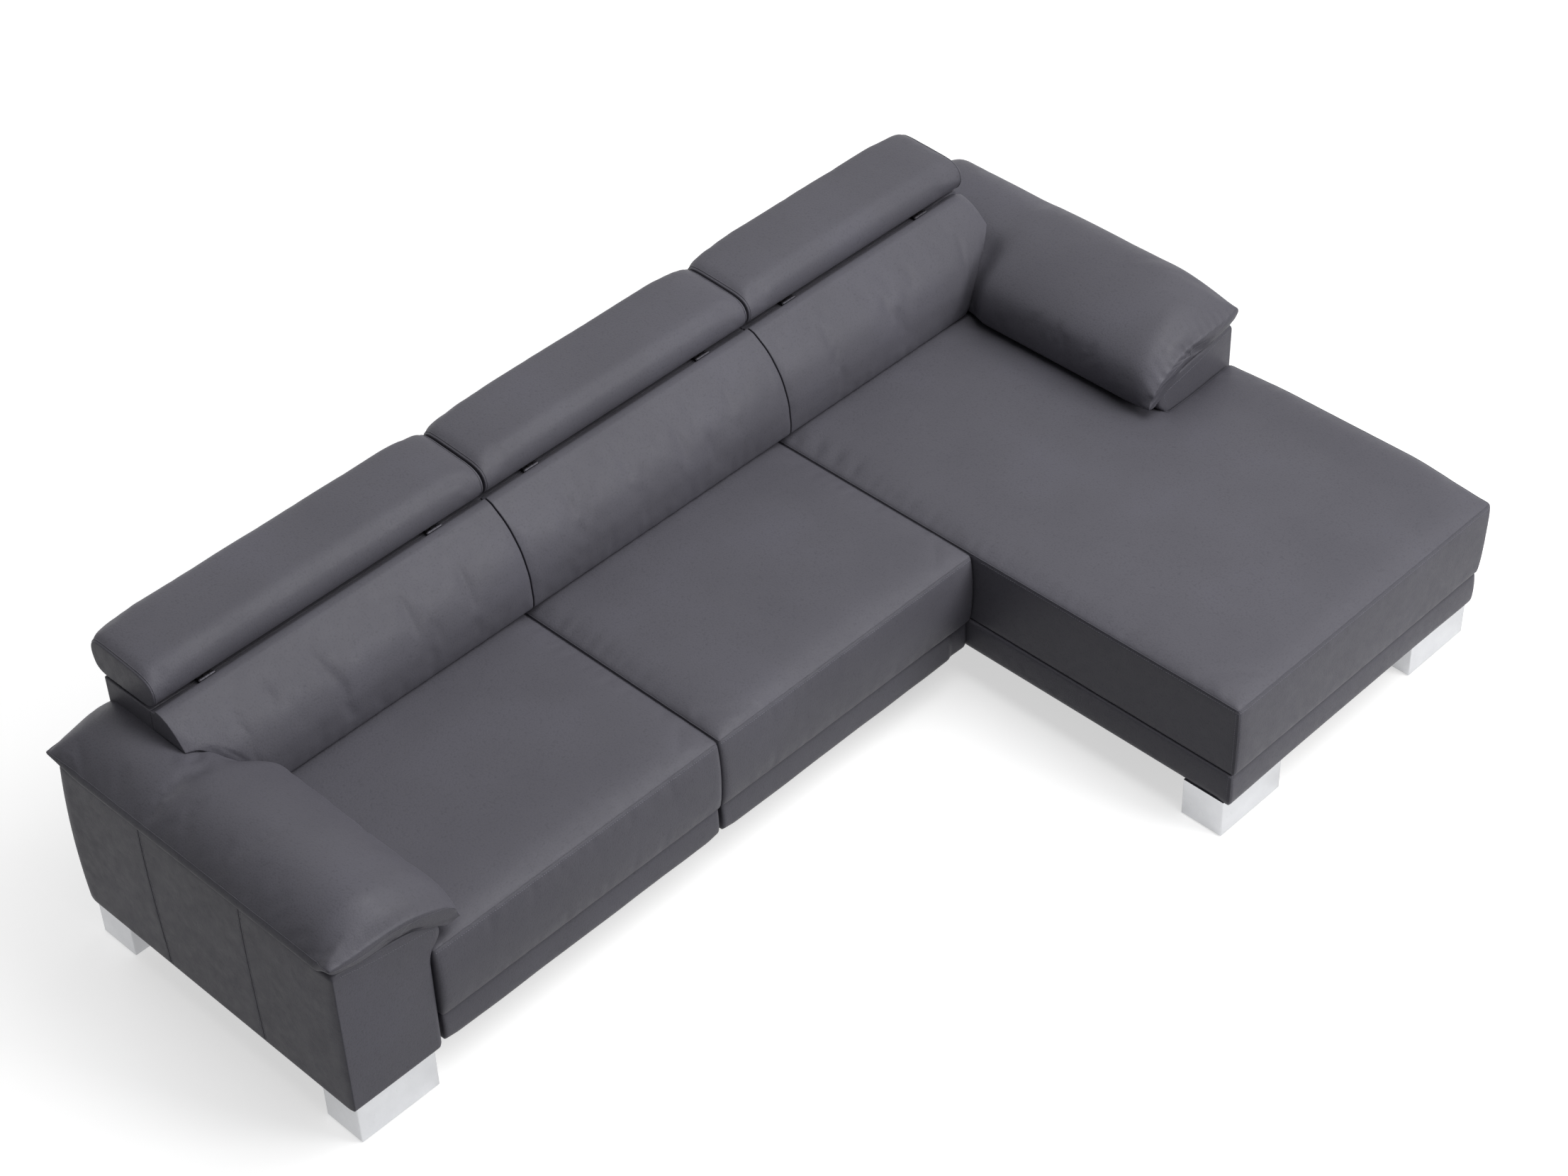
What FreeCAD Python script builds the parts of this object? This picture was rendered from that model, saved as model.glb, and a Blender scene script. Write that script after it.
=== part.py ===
import FreeCAD, Part
import math
import os
import re
from types import SimpleNamespace

import Sketcher
from FreeCAD import Placement, Rotation, Vector

# Corner sofa with two sliding seats, a fixed chaise on the right and three folding headrests.
# Millimetres. X runs along the back to the right, Y towards the back, Z up.
# The origin is on the floor, at the middle of the whole outline.

doc = FreeCAD.newDocument("corner_sofa")

# Driving sizes: name, value, what it is
driving_sizes = [
    # Plan
    ("arm_width", 258, "width of an arm's body"),
    ("seat_width", 865, "pitch of the two sliding seats"),
    ("chaise_seat_width", 743, "chaise seat between the seat beside it and the right arm"),
    ("body_depth", 936, "front of an arm to the rear plane"),
    ("chaise_reach", 815.5, "front of the chaise past the front of the arms"),
    ("back_overhang", 31.5, "headrests and pillows past the rear plane"),
    ("seat_depth", 617, "front of a seat to the foot of its back cushion"),
    ("seat_proud", 4, "front of a seat past the front of the arms"),
    # Heights
    ("foot_height", 112.5, "floor to the underside of the body"),
    ("band_seam_height", 209, "seam between the lower band and the panel over it"),
    ("seat_seam_height", 420, "seam along the top edge of a seat"),
    ("seat_crown", 17, "rise of a seat over its seam"),
    ("arm_outer_height", 554, "top of an arm's body at its outer edge"),
    ("arm_inner_height", 478, "top of an arm's body over the seat"),
    ("back_top_height", 698, "top of the back's cover, under the headrests"),
    # Clearances
    ("seat_gap", 4, "gap between neighbouring seats"),
    ("arm_gap", 4, "gap between a seat and an arm"),
    ("soft_gap", 0.3, "gap between a soft form and what it rests on"),
    ("slide_gap", 1, "gap between a sliding cushion and the rolled edge of an arm"),
    ("fit_gap", 0.2, "gap between pieces that are pushed together"),
    ("pivot_gap", 0.05, "gap round a hinge pin"),
    ("bolt_gap", 0.3, "gap round a bolt or screw"),
    ("overrun", 20, "how far a cutting form runs past what it cuts"),
    # Seat and chaise cushions
    ("seat_corner", 15, "radius of a seat's top front edge"),
    ("seat_side_round", 20, "rounding of a seat's sides"),
    ("chaise_side_round", 10, "rounding of the chaise's sides"),
    ("seat_swell", 2, "how far the middle of a seat stands past its ends"),
    ("panel_bulge", 3, "bulge of a front panel"),
    ("panel_depth", 43, "thickness of a seat's front panel"),
    ("panel_top_drop", 15, "top of a panel below the seam along the seat's edge"),
    ("seat_underside", 289.5, "underside of a seat cushion"),
    ("seat_rear_room", 35, "rear end of a seat cushion to the back frame"),
    ("chaise_panel_depth", 36, "thickness of the chaise's panels"),
    ("side_lean", 16, "how far the chaise's right side leans in at the bottom"),
    ("chaise_side_inset", 13, "chaise's right side from the outer face of the arm"),
    # Lower bands
    ("band_inset", 7, "lower band behind the panel over it"),
    ("band_bulge", 3, "bulge of a lower band"),
    ("band_round", 8, "rounding of a lower band's ends"),
    ("band_side_step", 3, "lower band's side from the side of the panel over it"),
    # Arms
    ("arm_edge", 8, "radius of an arm's long edges"),
    ("arm_end_round", 14, "rounding of an arm's ends"),
    ("arm_flare", 38, "how far the top of an arm reaches over the seat"),
    ("flare_tip", 37, "height of the rolled edge over the seat"),
    ("flare_start", 395, "height at which the inner face starts to flare"),
    ("arm_padding", 23, "thickness of the padding on an arm's sides"),
    ("arm_front_padding", 25, "thickness of the padding on an arm's front"),
    ("arm_rear_padding", 20, "thickness of the padding on an arm's rear"),
    ("arm_frame_height", 430, "top of an arm's frame"),
    # Arm pillows
    ("pillow_overhang", 10.5, "pillow past the outer face of the arm"),
    ("pillow_front", 12, "pillow past the front of the arm"),
    ("pillow_rear", 27, "pillow past the rear of the arm"),
    ("pillow_edge_height", 588, "height of the pillow's outer edge"),
    ("pillow_shoulder_height", 640, "height of the pillow's outer shoulder"),
    ("pillow_crown_height", 662, "top of the pillow near its outer edge"),
    ("pillow_crown_place", 50, "top of the pillow from the outer face of the arm"),
    ("pillow_slope_place", 200, "middle of the pillow's top from the outer face of the arm"),
    ("pillow_slope_height", 634, "height of the pillow's top at its middle"),
    ("pillow_inner_height", 562, "height at which the pillow turns down over the seat"),
    ("pillow_inner_reach", 58, "pillow past the inner face of the arm, at the seat"),
    ("pillow_bulge", 28, "bulge of the pillow over the seat"),
    ("pillow_bottom", 446, "lower edge of the pillow over the seat"),
    ("pillow_tuck", 64, "how far the back cushion presses the pillow's side in"),
    ("pillow_end_drop", 42, "how far the pillow's top falls at its ends"),
    ("pillow_end_pull", 24, "how far the pillow's side draws in at its ends"),
    ("pillow_end_round", 50, "length over which the pillow's ends round off"),
    ("press_gap", 0.6, "gap between a pillow and what is shaped round it"),
    # Back
    ("back_split_shift", 7, "first back split from the split of the seats below"),
    ("chaise_back_shift", 17, "second back split from the edge of the chaise below"),
    ("back_lean", 115, "top front of a back cushion behind its foot"),
    ("back_knee_height", 640, "height at which a back cushion turns to its top"),
    ("back_knee_lean", 46, "that turn behind the foot of the cushion"),
    ("back_bulge", 17, "bulge of a back cushion's front"),
    ("back_shoulder_bulge", 12, "bulge between that turn and the cushion's top"),
    ("back_side_round", 16, "rounding of a back cushion's sides"),
    ("back_swell", 3, "how far the middle of a back cushion stands past its sides"),
    ("back_cushion_rear", 163, "rear of a back cushion to the rear plane"),
    ("back_cushion_top", 703, "top of a back cushion, under the headrest"),
    ("back_reach_left", 97, "back past the inner face of the left arm"),
    ("back_reach_right", 66, "back past the inner face of the right arm"),
    ("back_gap", 3, "gap between neighbouring back cushions"),
    ("cover_thickness", 14, "thickness of the rear cover"),
    ("cover_top_thickness", 8, "thickness of the cover's top and sides"),
    ("cover_side_height", 78, "height of the cover's side over an arm"),
    ("post_depth", 45, "depth of a back post"),
    ("back_rail_height", 40, "height of a back rail"),
    ("mid_rail_height", 400, "underside of the middle back rail"),
    ("front_board_height", 130, "height of the board under the hinges"),
    ("wing_height", 35, "height of the back's boards over an arm"),
    # Headrests
    ("headrest_thickness", 80, "height of a headrest as it lies"),
    ("headrest_depth", 215, "front to rear of a headrest"),
    ("headrest_gap", 4, "gap between neighbouring headrests"),
    ("headrest_round", 9, "rounding of a headrest's ends"),
    ("headrest_swell", 3, "how far the middle of a headrest stands past its ends"),
    ("headrest_bottom", 711.5, "underside of a headrest"),
    ("headrest_roll", 33, "length over which a headrest's front rolls over"),
    ("headrest_toe", 19, "length over which a headrest's front rolls under"),
    ("headrest_heel", 17, "length over which a headrest's rear rolls over and under"),
    ("headrest_crown", 3, "rise of a headrest's top"),
    ("headrest_board", 12, "thickness of the board in a headrest"),
    ("headrest_board_inset", 24, "board in a headrest from the headrest's ends"),
    # Headrest hinges
    ("hinge_inset", 150, "hinge from the end of a headrest"),
    ("hinge_height", 705.5, "height of a hinge's axis"),
    ("hinge_setback", 13, "hinge's axis behind the front of a headrest"),
    ("leaf_width", 40, "width of a hinge leaf"),
    ("leaf_length", 120, "length of a hinge leaf"),
    ("leaf_thickness", 2.5, "thickness of a hinge leaf"),
    ("knuckle_radius", 5.6, "radius of a hinge knuckle"),
    ("knuckle_length", 13, "length of a hinge knuckle"),
    ("knuckle_gap", 0.5, "gap between the knuckles"),
    ("pin_radius", 3, "radius of a hinge pin"),
    ("pin_head", 2, "thickness of a hinge pin's head"),
    ("notch_room", 4, "room round a hinge in the cushion under it"),
    # Wood and springs
    ("board", 25, "thickness of a frame board"),
    ("thin_board", 18, "thickness of a board in an arm"),
    ("base_rail_height", 80, "height of the seat base's rails"),
    ("chaise_rail_height", 172.5, "height of the chaise base's rails"),
    ("seat_frame_bottom", 215, "underside of a seat frame's side boards"),
    ("seat_frame_top", 285, "top of a seat frame"),
    ("block_height", 30, "height of the block that a foot is bolted to"),
    ("block_reach", 42, "block past the bolt in it"),
    ("spring_wire", 2, "radius of the spring wire"),
    ("spring_pitch", 50, "distance between a spring's cross bars"),
    ("spring_width", 46, "length of a spring's cross bars"),
    ("spring_room", 12, "end of a spring from the edge of its frame"),
    ("chaise_spring_spacing", 150, "distance between the chaise's springs"),
    ("strap_width", 60, "width of a webbing strap"),
    ("strap_spacing", 110, "distance between webbing straps"),
    ("strap_thickness", 1.4, "thickness of a webbing strap"),
    # Slides
    ("channel_width", 26, "outer width of a slide channel"),
    ("channel_height", 20, "height of a slide channel"),
    ("channel_wall", 2, "wall of a slide channel"),
    ("channel_slot", 12, "slot along the top of a slide channel"),
    ("channel_inset", 90, "slide channel from the side of a seat"),
    ("bar_height", 11, "height of the sliding bar's foot"),
    ("bar_neck", 9, "width of the sliding bar's neck"),
    ("pad_height", 1.3, "thickness of a glide pad"),
    ("pad_length", 60, "length of a glide pad"),
    # Feet and fasteners
    ("foot_length", 224, "length of a foot along the back"),
    ("foot_depth", 119, "depth of a foot"),
    ("foot_wall", 4, "wall of a foot"),
    ("foot_top", 5, "thickness of a foot's top plate"),
    ("foot_edge", 2, "rounding of a foot's upright edges"),
    ("foot_lift", 3, "foot's metal above the floor"),
    ("glide_height", 10, "height of the plastic insert in a foot"),
    ("arm_foot_side", 11, "foot from the outer face of the arm"),
    ("arm_foot_front", 6, "foot from the front of the arm"),
    ("arm_foot_rear", 9, "foot from the rear plane"),
    ("chaise_foot_front", 23, "foot from the front of the chaise"),
    ("leg_radius", 25, "radius of a support leg"),
    ("leg_front_place", 160, "front support legs behind the front of the base"),
    ("leg_rear_place", 60, "rear support legs from the rear of the base"),
    ("bolt_radius", 4, "radius of a foot bolt"),
    ("bolt_head_radius", 7, "radius of a foot bolt's head"),
    ("bolt_head_height", 5.3, "height of a foot bolt's head"),
    ("bolt_length", 24, "length of a foot bolt in the wood"),
    ("screw_radius", 2, "radius of a wood screw"),
    ("screw_head_radius", 4, "radius of a wood screw's head"),
    ("screw_head_height", 1.6, "height of a wood screw's head"),
    ("screw_length", 16, "length of a wood screw in the wood"),
    ("screw_side", 10, "hinge screw from the middle of its leaf"),
    ("hinge_screw_place", 23, "hinge screws behind the hinge's axis"),
    ("plate_thickness", 3, "thickness of a joining plate"),
    ("plate_length", 50, "length of a joining plate"),
    ("plate_height", 60, "height of a joining plate"),
    ("cloth", 1, "thickness of the dust covers"),
    ("cloth_inset", 6, "dust cover from the edge of its frame"),
]

# Places that follow from the sizes: name, formula
derived_places = [
    ("left_face", "-(arm_width + seat_width + chaise_seat_width / 2)"),
    ("left_inner", "left_face + arm_width"),
    ("seat_split", "left_inner + seat_width"),
    ("chaise_split", "seat_split + seat_width"),
    ("right_inner", "chaise_split + chaise_seat_width"),
    ("right_face", "right_inner + arm_width"),
    ("front_face", "-(chaise_reach + body_depth + back_overhang) / 2"),
    ("arm_front", "front_face + chaise_reach"),
    ("rear_face", "arm_front + body_depth"),
    ("seat_front", "arm_front - seat_proud"),
    ("seat_bottom", "band_seam_height"),
    ("panel_top", "seat_seam_height - panel_top_drop"),
    ("back_foot", "seat_front + seat_depth"),
    ("cushion_rear", "rear_face - back_cushion_rear"),
    ("back_boards", "cushion_rear + strap_thickness + 2 * fit_gap"),
    ("post_rear", "rear_face - cover_thickness - fit_gap"),
    ("post_front", "post_rear - post_depth"),
    ("seat_rear", "post_front - seat_rear_room"),
    ("board_front", "seat_front + panel_depth + fit_gap"),
    ("base_front", "board_front + board + 2 * fit_gap"),
    ("base_rear", "post_front - fit_gap"),
    ("base_top", "foot_height + base_rail_height"),
    ("base_left", "left_inner + soft_gap"),
    ("base_right", "chaise_split - seat_gap / 2"),
    ("chaise_left", "chaise_split + seat_gap / 2"),
    ("chaise_right", "right_face - chaise_side_inset"),
    ("chaise_inner_right", "right_inner - soft_gap"),
    ("chaise_step", "arm_front - soft_gap"),
    ("chaise_top", "foot_height + chaise_rail_height"),
    ("chaise_frame_front", "front_face + chaise_panel_depth + fit_gap"),
    ("chaise_frame_left", "chaise_left + chaise_panel_depth + fit_gap"),
    ("chaise_frame_right", "chaise_right - side_lean - chaise_panel_depth - fit_gap"),
    ("chaise_band_left", "chaise_left - band_side_step"),
    ("chaise_band_right", "chaise_right - side_lean - band_side_step"),
    ("chaise_foot_middle", "front_face + chaise_foot_front + foot_depth / 2"),
    ("pillow_side", "arm_width + pillow_inner_reach"),
    ("back_split_1", "seat_split + back_split_shift"),
    ("back_split_2", "chaise_split + chaise_back_shift"),
    ("back_left", "left_inner - back_reach_left"),
    ("back_right", "right_inner + back_reach_right"),
    ("back_low_left", "left_inner + pillow_inner_reach + 2 * soft_gap"),
    ("back_low_right", "right_inner - pillow_inner_reach - 2 * soft_gap"),
    ("main_back_right", "back_split_2 - back_gap / 2"),
    ("chaise_back_left", "back_split_2 + back_gap / 2"),
    ("back_board_top", "back_top_height - cover_top_thickness - fit_gap"),
    ("slat_bottom", "pillow_bottom"),
    ("headrest_rear", "rear_face + back_overhang - headrest_swell"),
    ("headrest_front", "headrest_rear - headrest_depth"),
    ("hinge_place", "headrest_front + hinge_setback"),
    ("bar_bottom", "base_top + channel_wall + pad_height + 2 * fit_gap"),
    ("bar_half", "channel_width / 2 - channel_wall - 2 * fit_gap"),
    ("screw_seat", "back_top_height + fit_gap + leaf_thickness"),
]


def write_sheet(name, rows):
    sheet = doc.addObject("Spreadsheet::Sheet", name)
    for line, (alias, content, note) in enumerate(rows, start=1):
        sheet.set(f"A{line}", alias)
        sheet.set(f"B{line}", str(content))
        sheet.setAlias(f"B{line}", alias)
        sheet.set(f"C{line}", note)
    doc.recompute()
    return sheet


size_names = {name for name, value, note in driving_sizes}
place_names = {name for name, rule in derived_places}


def formula(text):
    # Puts the sheet's name before each size or place that a formula uses.
    def with_sheet(word):
        name = word.group()
        if name in size_names:
            return "Sizes." + name
        if name in place_names:
            return "Places." + name
        return name

    return re.sub(r"[a-z][a-z_0-9]*", with_sheet, text)


sizes = write_sheet("Sizes", driving_sizes)


def place_formula(rule):
    # A place may use other places of its own sheet, which need no sheet name.
    def with_sheet(word):
        name = word.group()
        return "Sizes." + name if name in size_names else name

    return "=" + re.sub(r"[a-z][a-z_0-9]*", with_sheet, rule)


places = write_sheet("Places", [(name, place_formula(rule), rule) for name, rule in derived_places])

size = SimpleNamespace(**{name: float(sizes.get(name)) for name in size_names})
place = SimpleNamespace(**{name: float(places.get(name)) for name in place_names})


def number(text):
    return float(sizes.evalExpression(formula(text)))


finished = []


def finish(piece, name):
    # A finished sub-part: its label names its file.
    piece.Label = name
    finished.append(piece)
    return piece


# Boards, rounds and groups bound to the sheets


def block(name, across, along, up):
    # A box between two formulas on each axis.
    piece = doc.addObject("Part::Box", name)
    for side, (low, high) in zip(("Length", "Width", "Height"), (across, along, up)):
        piece.setExpression(side, formula(f"({high}) - ({low})"))
    for axis, (low, high) in zip("xyz", (across, along, up)):
        piece.setExpression(f"Placement.Base.{axis}", formula(low))
    return piece


along_x = Rotation(Vector(0, 1, 0), 90)


def rod(name, radius, length, at, turn=None):
    # A cylinder that rises from a place, or lies along X from it.
    piece = doc.addObject("Part::Cylinder", name)
    piece.setExpression("Radius", formula(radius))
    piece.setExpression("Height", formula(length))
    if turn:
        piece.Placement = Placement(Vector(), turn)
    for axis, rule in zip("xyz", at):
        piece.setExpression(f"Placement.Base.{axis}", formula(rule))
    return piece


def cone(name, low_radius, high_radius, height, at):
    piece = doc.addObject("Part::Cone", name)
    piece.setExpression("Radius1", formula(low_radius))
    piece.setExpression("Radius2", formula(high_radius))
    piece.setExpression("Height", formula(height))
    for axis, rule in zip("xyz", at):
        piece.setExpression(f"Placement.Base.{axis}", formula(rule))
    return piece


def group(name, pieces):
    joined = doc.addObject("Part::Compound", name)
    joined.Links = pieces
    return joined


def fused(name, pieces):
    whole = doc.addObject("Part::MultiFuse", name)
    whole.Shapes = pieces
    return whole


def cut(name, base, tool):
    result = doc.addObject("Part::Cut", name)
    result.Base = base
    result.Tool = tool
    return result


def bound_outline(body, name, plane_role, points, offset):
    # A sketch whose every corner is bound to the sheets.
    sketch = body.newObject("Sketcher::SketchObject", name)
    plane = next(item for item in body.Origin.OriginFeatures if item.Role == plane_role)
    sketch.AttachmentSupport = [(plane, "")]
    sketch.MapMode = "FlatFace"
    sketch.setExpression("AttachmentOffset.Base.z", formula(offset))
    corners = [Vector(number(a), number(b), 0) for a, b in points]
    count = len(corners)
    for i in range(count):
        sketch.addGeometry(Part.LineSegment(corners[i], corners[(i + 1) % count]), False)
    for i in range(count):
        sketch.addConstraint(Sketcher.Constraint("Coincident", i, 2, (i + 1) % count, 1))
    for i, rules in enumerate(points):
        for kind, rule, value in zip(("DistanceX", "DistanceY"), rules, corners[i]):
            index = sketch.addConstraint(Sketcher.Constraint(kind, -1, 1, i, 1, value))
            sketch.setExpression(f"Constraints[{index}]", formula(rule))
    return sketch


def outline_body(name, plane_role, points, offset, length):
    # A body padded from a bound outline.
    body = doc.addObject("PartDesign::Body", name)
    pad = body.newObject("PartDesign::Pad", name + "_pad")
    pad.Profile = bound_outline(body, name + "_outline", plane_role, points, offset)
    pad.setExpression("Length", formula(length))
    body.Tip = pad
    return body


def rectangle(low, high, front, rear):
    return [(low, front), (high, front), (high, rear), (low, rear)]


# Soft forms: lofts through outlines of lines and arcs


def ring(outline, put):
    # A closed wire. A step is a point to draw a line to, or a point to pass and an arc's end.
    edges = []
    here = outline[0]
    for step in outline[1:] + [outline[0]]:
        through, there = step if isinstance(step[0], tuple) else (None, step)
        if through:
            edges.append(Part.Arc(put(*here), put(*through), put(*there)).toShape())
        elif here != there:
            edges.append(Part.LineSegment(put(*here), put(*there)).toShape())
        here = there
    return Part.Wire(edges)


def blend(full, drawn, weight):
    # Each point of an outline goes a share of the way to its place in the drawn-in outline.
    def between(p, q):
        if isinstance(p[0], tuple):
            return tuple(between(a, b) for a, b in zip(p, q))
        return tuple(a + (b - a) * weight for a, b in zip(p, q))

    return [between(p, q) for p, q in zip(full, drawn)]


def loft(stations):
    # stations: outline, and the function that puts a point of it in space
    return Part.makeLoft([ring(outline, put) for outline, put in stations], True, True)


# Places in the rounding at an end, as shares of its radius from the end
rounding_shares = (0.0, 0.1, 0.3, 0.6, 1.0)
# Places between the roundings, as shares of the length between them
swell_shares = (0.2, 0.4, 0.6, 0.8)


def drawn_share(share):
    # How far a round edge is drawn in, at a share of its radius from the end.
    return 1 - math.sqrt(1 - (1 - share) ** 2)


def rounded_stations(low, high, radius, swell):
    # Places along a form with the weight of its drawn-in outline at each.
    inner = high - low - 2 * radius
    near = [(low + radius * a, drawn_share(a)) for a in rounding_shares]
    middle = [(low + radius + inner * a, -swell / radius * 4 * a * (1 - a)) for a in swell_shares]
    far = [(high - radius * a, drawn_share(a)) for a in reversed(rounding_shares)]
    return near + middle + far


def soft_part(name, shape):
    # A soft form with its own origin at its low corner.
    box = shape.optimalBoundingBox()
    corner = Vector(box.XMin, box.YMin, box.ZMin)
    shift = Placement(-corner, Rotation()).toMatrix()
    piece = doc.addObject("Part::Feature", name)
    piece.Shape = shape.transformed(shift, True)
    piece.Placement = Placement(corner, Rotation())
    return piece


def solid_box(across, along, up):
    return Part.makeBox(
        across[1] - across[0],
        along[1] - along[0],
        up[1] - up[0],
        Vector(across[0], along[0], up[0]),
    )


# Share of a corner's radius from its sharp corner to the middle of its arc
corner_share = 1 - math.sqrt(0.5)
# Place of the seat's fullest point, as a share of its depth
seat_crown_share = 0.5


def slab_outline(front, rear, bottom, seam, crown, bulge, corner):
    # Side view of a cushion: bulged front, rounded top edge, crowned top.
    nick = corner * corner_share
    top_start = front + corner
    return [
        (front, bottom),
        ((front - bulge, (bottom + seam - corner) / 2), (front, seam - corner)),
        ((front + nick, seam - nick), (top_start, seam)),
        ((top_start + (rear - top_start) * seat_crown_share, seam + crown), (rear, seam)),
        (rear, bottom),
    ]


def slab(low, high, front, rear, side_round, lean):
    # A whole seat block. lean: how far its right side leans in at the bottom.
    bottom = size.band_seam_height
    seam = size.seat_seam_height
    bulge = size.panel_bulge
    inner_front = front + bulge + size.seat_swell
    shape = (size.seat_crown, bulge, size.seat_corner)
    full = slab_outline(inner_front, rear, bottom, seam, *shape)
    drawn = slab_outline(inner_front + side_round, rear, bottom, seam - side_round, *shape)

    def leaning(x):
        share = (x - low) / (high - low)
        return lambda a, b: Vector(x - lean * share * (seam - b) / (seam - bottom), a, b)

    stations = rounded_stations(low, high, side_round, size.seat_swell)
    return loft([(blend(full, drawn, weight), leaning(x)) for x, weight in stations])


# Seats that slide

seat_limits = {
    1: ("left_inner + arm_gap", "seat_split - seat_gap / 2"),
    2: ("seat_split + seat_gap / 2", "chaise_split - seat_gap / 2"),
}


def make_seat_cushion(seat):
    low, high = (number(rule) for rule in seat_limits[seat])
    form = slab(low, high, place.seat_front, place.seat_rear, size.seat_side_round, 0)
    over = size.overrun
    across = (low - over, high + over)
    panel_rear = place.seat_front + size.panel_depth
    panel_level = (place.seat_bottom, place.panel_top)
    panel_room = solid_box(across, (place.seat_front - over, panel_rear), panel_level)
    panel_lid = solid_box(
        across,
        (place.seat_front - over, panel_rear + size.soft_gap),
        (place.seat_bottom - over, place.panel_top + size.soft_gap),
    )
    frame_room = solid_box(
        across,
        (place.seat_front, place.seat_rear + over),
        (place.seat_bottom - over, size.seat_underside),
    )
    if seat == 1:
        form = form.cut(arm_room("left", place.seat_front - over, place.seat_rear + over))
    name = f"seat_{seat}_cushion"
    finish(soft_part(name, form.cut(panel_lid).cut(frame_room)), name)
    name = f"seat_{seat}_front_panel"
    finish(soft_part(name, form.common(panel_room)), name)


def band_outline(front, rear, bottom, top, bulge):
    return [
        (front, bottom),
        ((front - bulge, (bottom + top) / 2), (front, top)),
        (rear, top),
        (rear, bottom),
    ]


def band(low, high, front, rear):
    # A lower band with a bulged front, drawn in at its ends.
    limits = (rear, size.foot_height, size.band_seam_height - size.soft_gap, size.band_bulge)
    full = band_outline(front + size.band_bulge, *limits)
    drawn = band_outline(front + size.band_bulge + size.band_round, *limits)
    stations = rounded_stations(low, high, size.band_round, 0)
    return loft(
        [(blend(full, drawn, weight), lambda a, b, x=x: Vector(x, a, b)) for x, weight in stations]
    )


def make_seat_band(seat):
    low, high = (number(rule) for rule in seat_limits[seat])
    form = band(
        low + size.band_side_step,
        high - size.band_side_step,
        place.seat_front + size.band_inset,
        place.seat_front + size.panel_depth,
    )
    finish(soft_part(f"seat_{seat}_lower_band", form), f"seat_{seat}_lower_band")


# Long braces of a seat frame, as shares of the seat's width
brace_shares = ("1 / 3", "2 / 3")


def slide_place(seat, side):
    # Middle of a slide channel across the sofa.
    low, high = seat_limits[seat]
    return f"({low}) + channel_inset" if side == "left" else f"({high}) - channel_inset"


def make_seat_frame(seat):
    low, high = seat_limits[seat]
    left = f"({low}) + arm_gap"
    right = f"({high}) - arm_gap"
    name = f"seat_{seat}_frame"
    inside = ("board_front + board", "seat_rear - board")
    level = ("seat_frame_bottom", "seat_frame_top")
    low_level = ("seat_frame_bottom", "seat_frame_bottom + board")
    front_level = ("foot_height + board", "seat_frame_top")
    boards = [
        block(name + "_front", (left, right), ("board_front", inside[0]), front_level),
        block(name + "_rear", (left, right), (inside[1], "seat_rear"), level),
        block(name + "_left", (left, f"({left}) + board"), inside, level),
        block(name + "_right", (f"({right}) - board", right), inside, level),
    ]
    middles = [(side, slide_place(seat, side)) for side in ("left", "right")]
    for i, share in enumerate(brace_shares):
        middles.append((f"brace_{i}", f"({low}) + ({high} - ({low})) * {share}"))
    for label, middle in middles:
        across = (f"({middle}) - board", f"({middle}) + board")
        boards.append(block(f"{name}_{label}_runner", across, inside, low_level))
    finish(group(name, boards), name)


def zigzag(start, reach, direction):
    # A spring lying flat: parallel cross bars joined by half turns.
    bars = int(round(reach / size.spring_pitch)) + 1
    pitch = reach / (bars - 1)
    aside = Vector(direction.y, direction.x, 0)
    edges = []
    for i in range(bars):
        away = aside * (1 if i % 2 == 0 else -1)
        middle = start + direction * (pitch * i)
        last = middle + away * (size.spring_width / 2)
        edges.append(Part.LineSegment(middle - away * (size.spring_width / 2), last).toShape())
        if i < bars - 1:
            through = last + direction * (pitch / 2) + away * (pitch / 2)
            edges.append(Part.Arc(last, through, last + direction * pitch).toShape())
    path = Part.Wire(edges)
    circle = Part.Circle(edges[0].Vertexes[0].Point, aside, size.spring_wire)
    return path.makePipeShell([Part.Wire(circle.toShape())], True, False)


# Springs across a seat, as shares of its width
seat_spring_shares = (0.1, 0.3, 0.5, 0.7, 0.9)


def make_seat_springs(seat):
    low, high = (number(rule) for rule in seat_limits[seat])
    first = place.board_front + size.spring_room
    last = place.seat_rear - size.spring_room
    level = size.seat_frame_top + size.spring_wire + size.fit_gap
    springs = [
        zigzag(Vector(low + (high - low) * share, first, level), last - first, Vector(0, 1, 0))
        for share in seat_spring_shares
    ]
    finish(soft_part(f"seat_{seat}_springs", Part.makeCompound(springs)), f"seat_{seat}_springs")


def make_slide_bars(seat):
    bars = []
    foot_top = "bar_bottom + bar_height"
    for side in ("left", "right"):
        middle = slide_place(seat, side)
        points = [
            (f"({middle}) - bar_half", "bar_bottom"),
            (f"({middle}) + bar_half", "bar_bottom"),
            (f"({middle}) + bar_half", foot_top),
            (f"({middle}) + bar_neck / 2", foot_top),
            (f"({middle}) + bar_neck / 2", "seat_frame_bottom"),
            (f"({middle}) - bar_neck / 2", "seat_frame_bottom"),
            (f"({middle}) - bar_neck / 2", foot_top),
            (f"({middle}) - bar_half", foot_top),
        ]
        length = "seat_rear - board - (board_front + 2 * board)"
        name = f"seat_{seat}_bar_{side}"
        bars.append(outline_body(name, "XZ_Plane", points, "-(seat_rear - board)", length))
    finish(group(f"seat_{seat}_slide_bars", bars), f"seat_{seat}_slide_bars")


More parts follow.
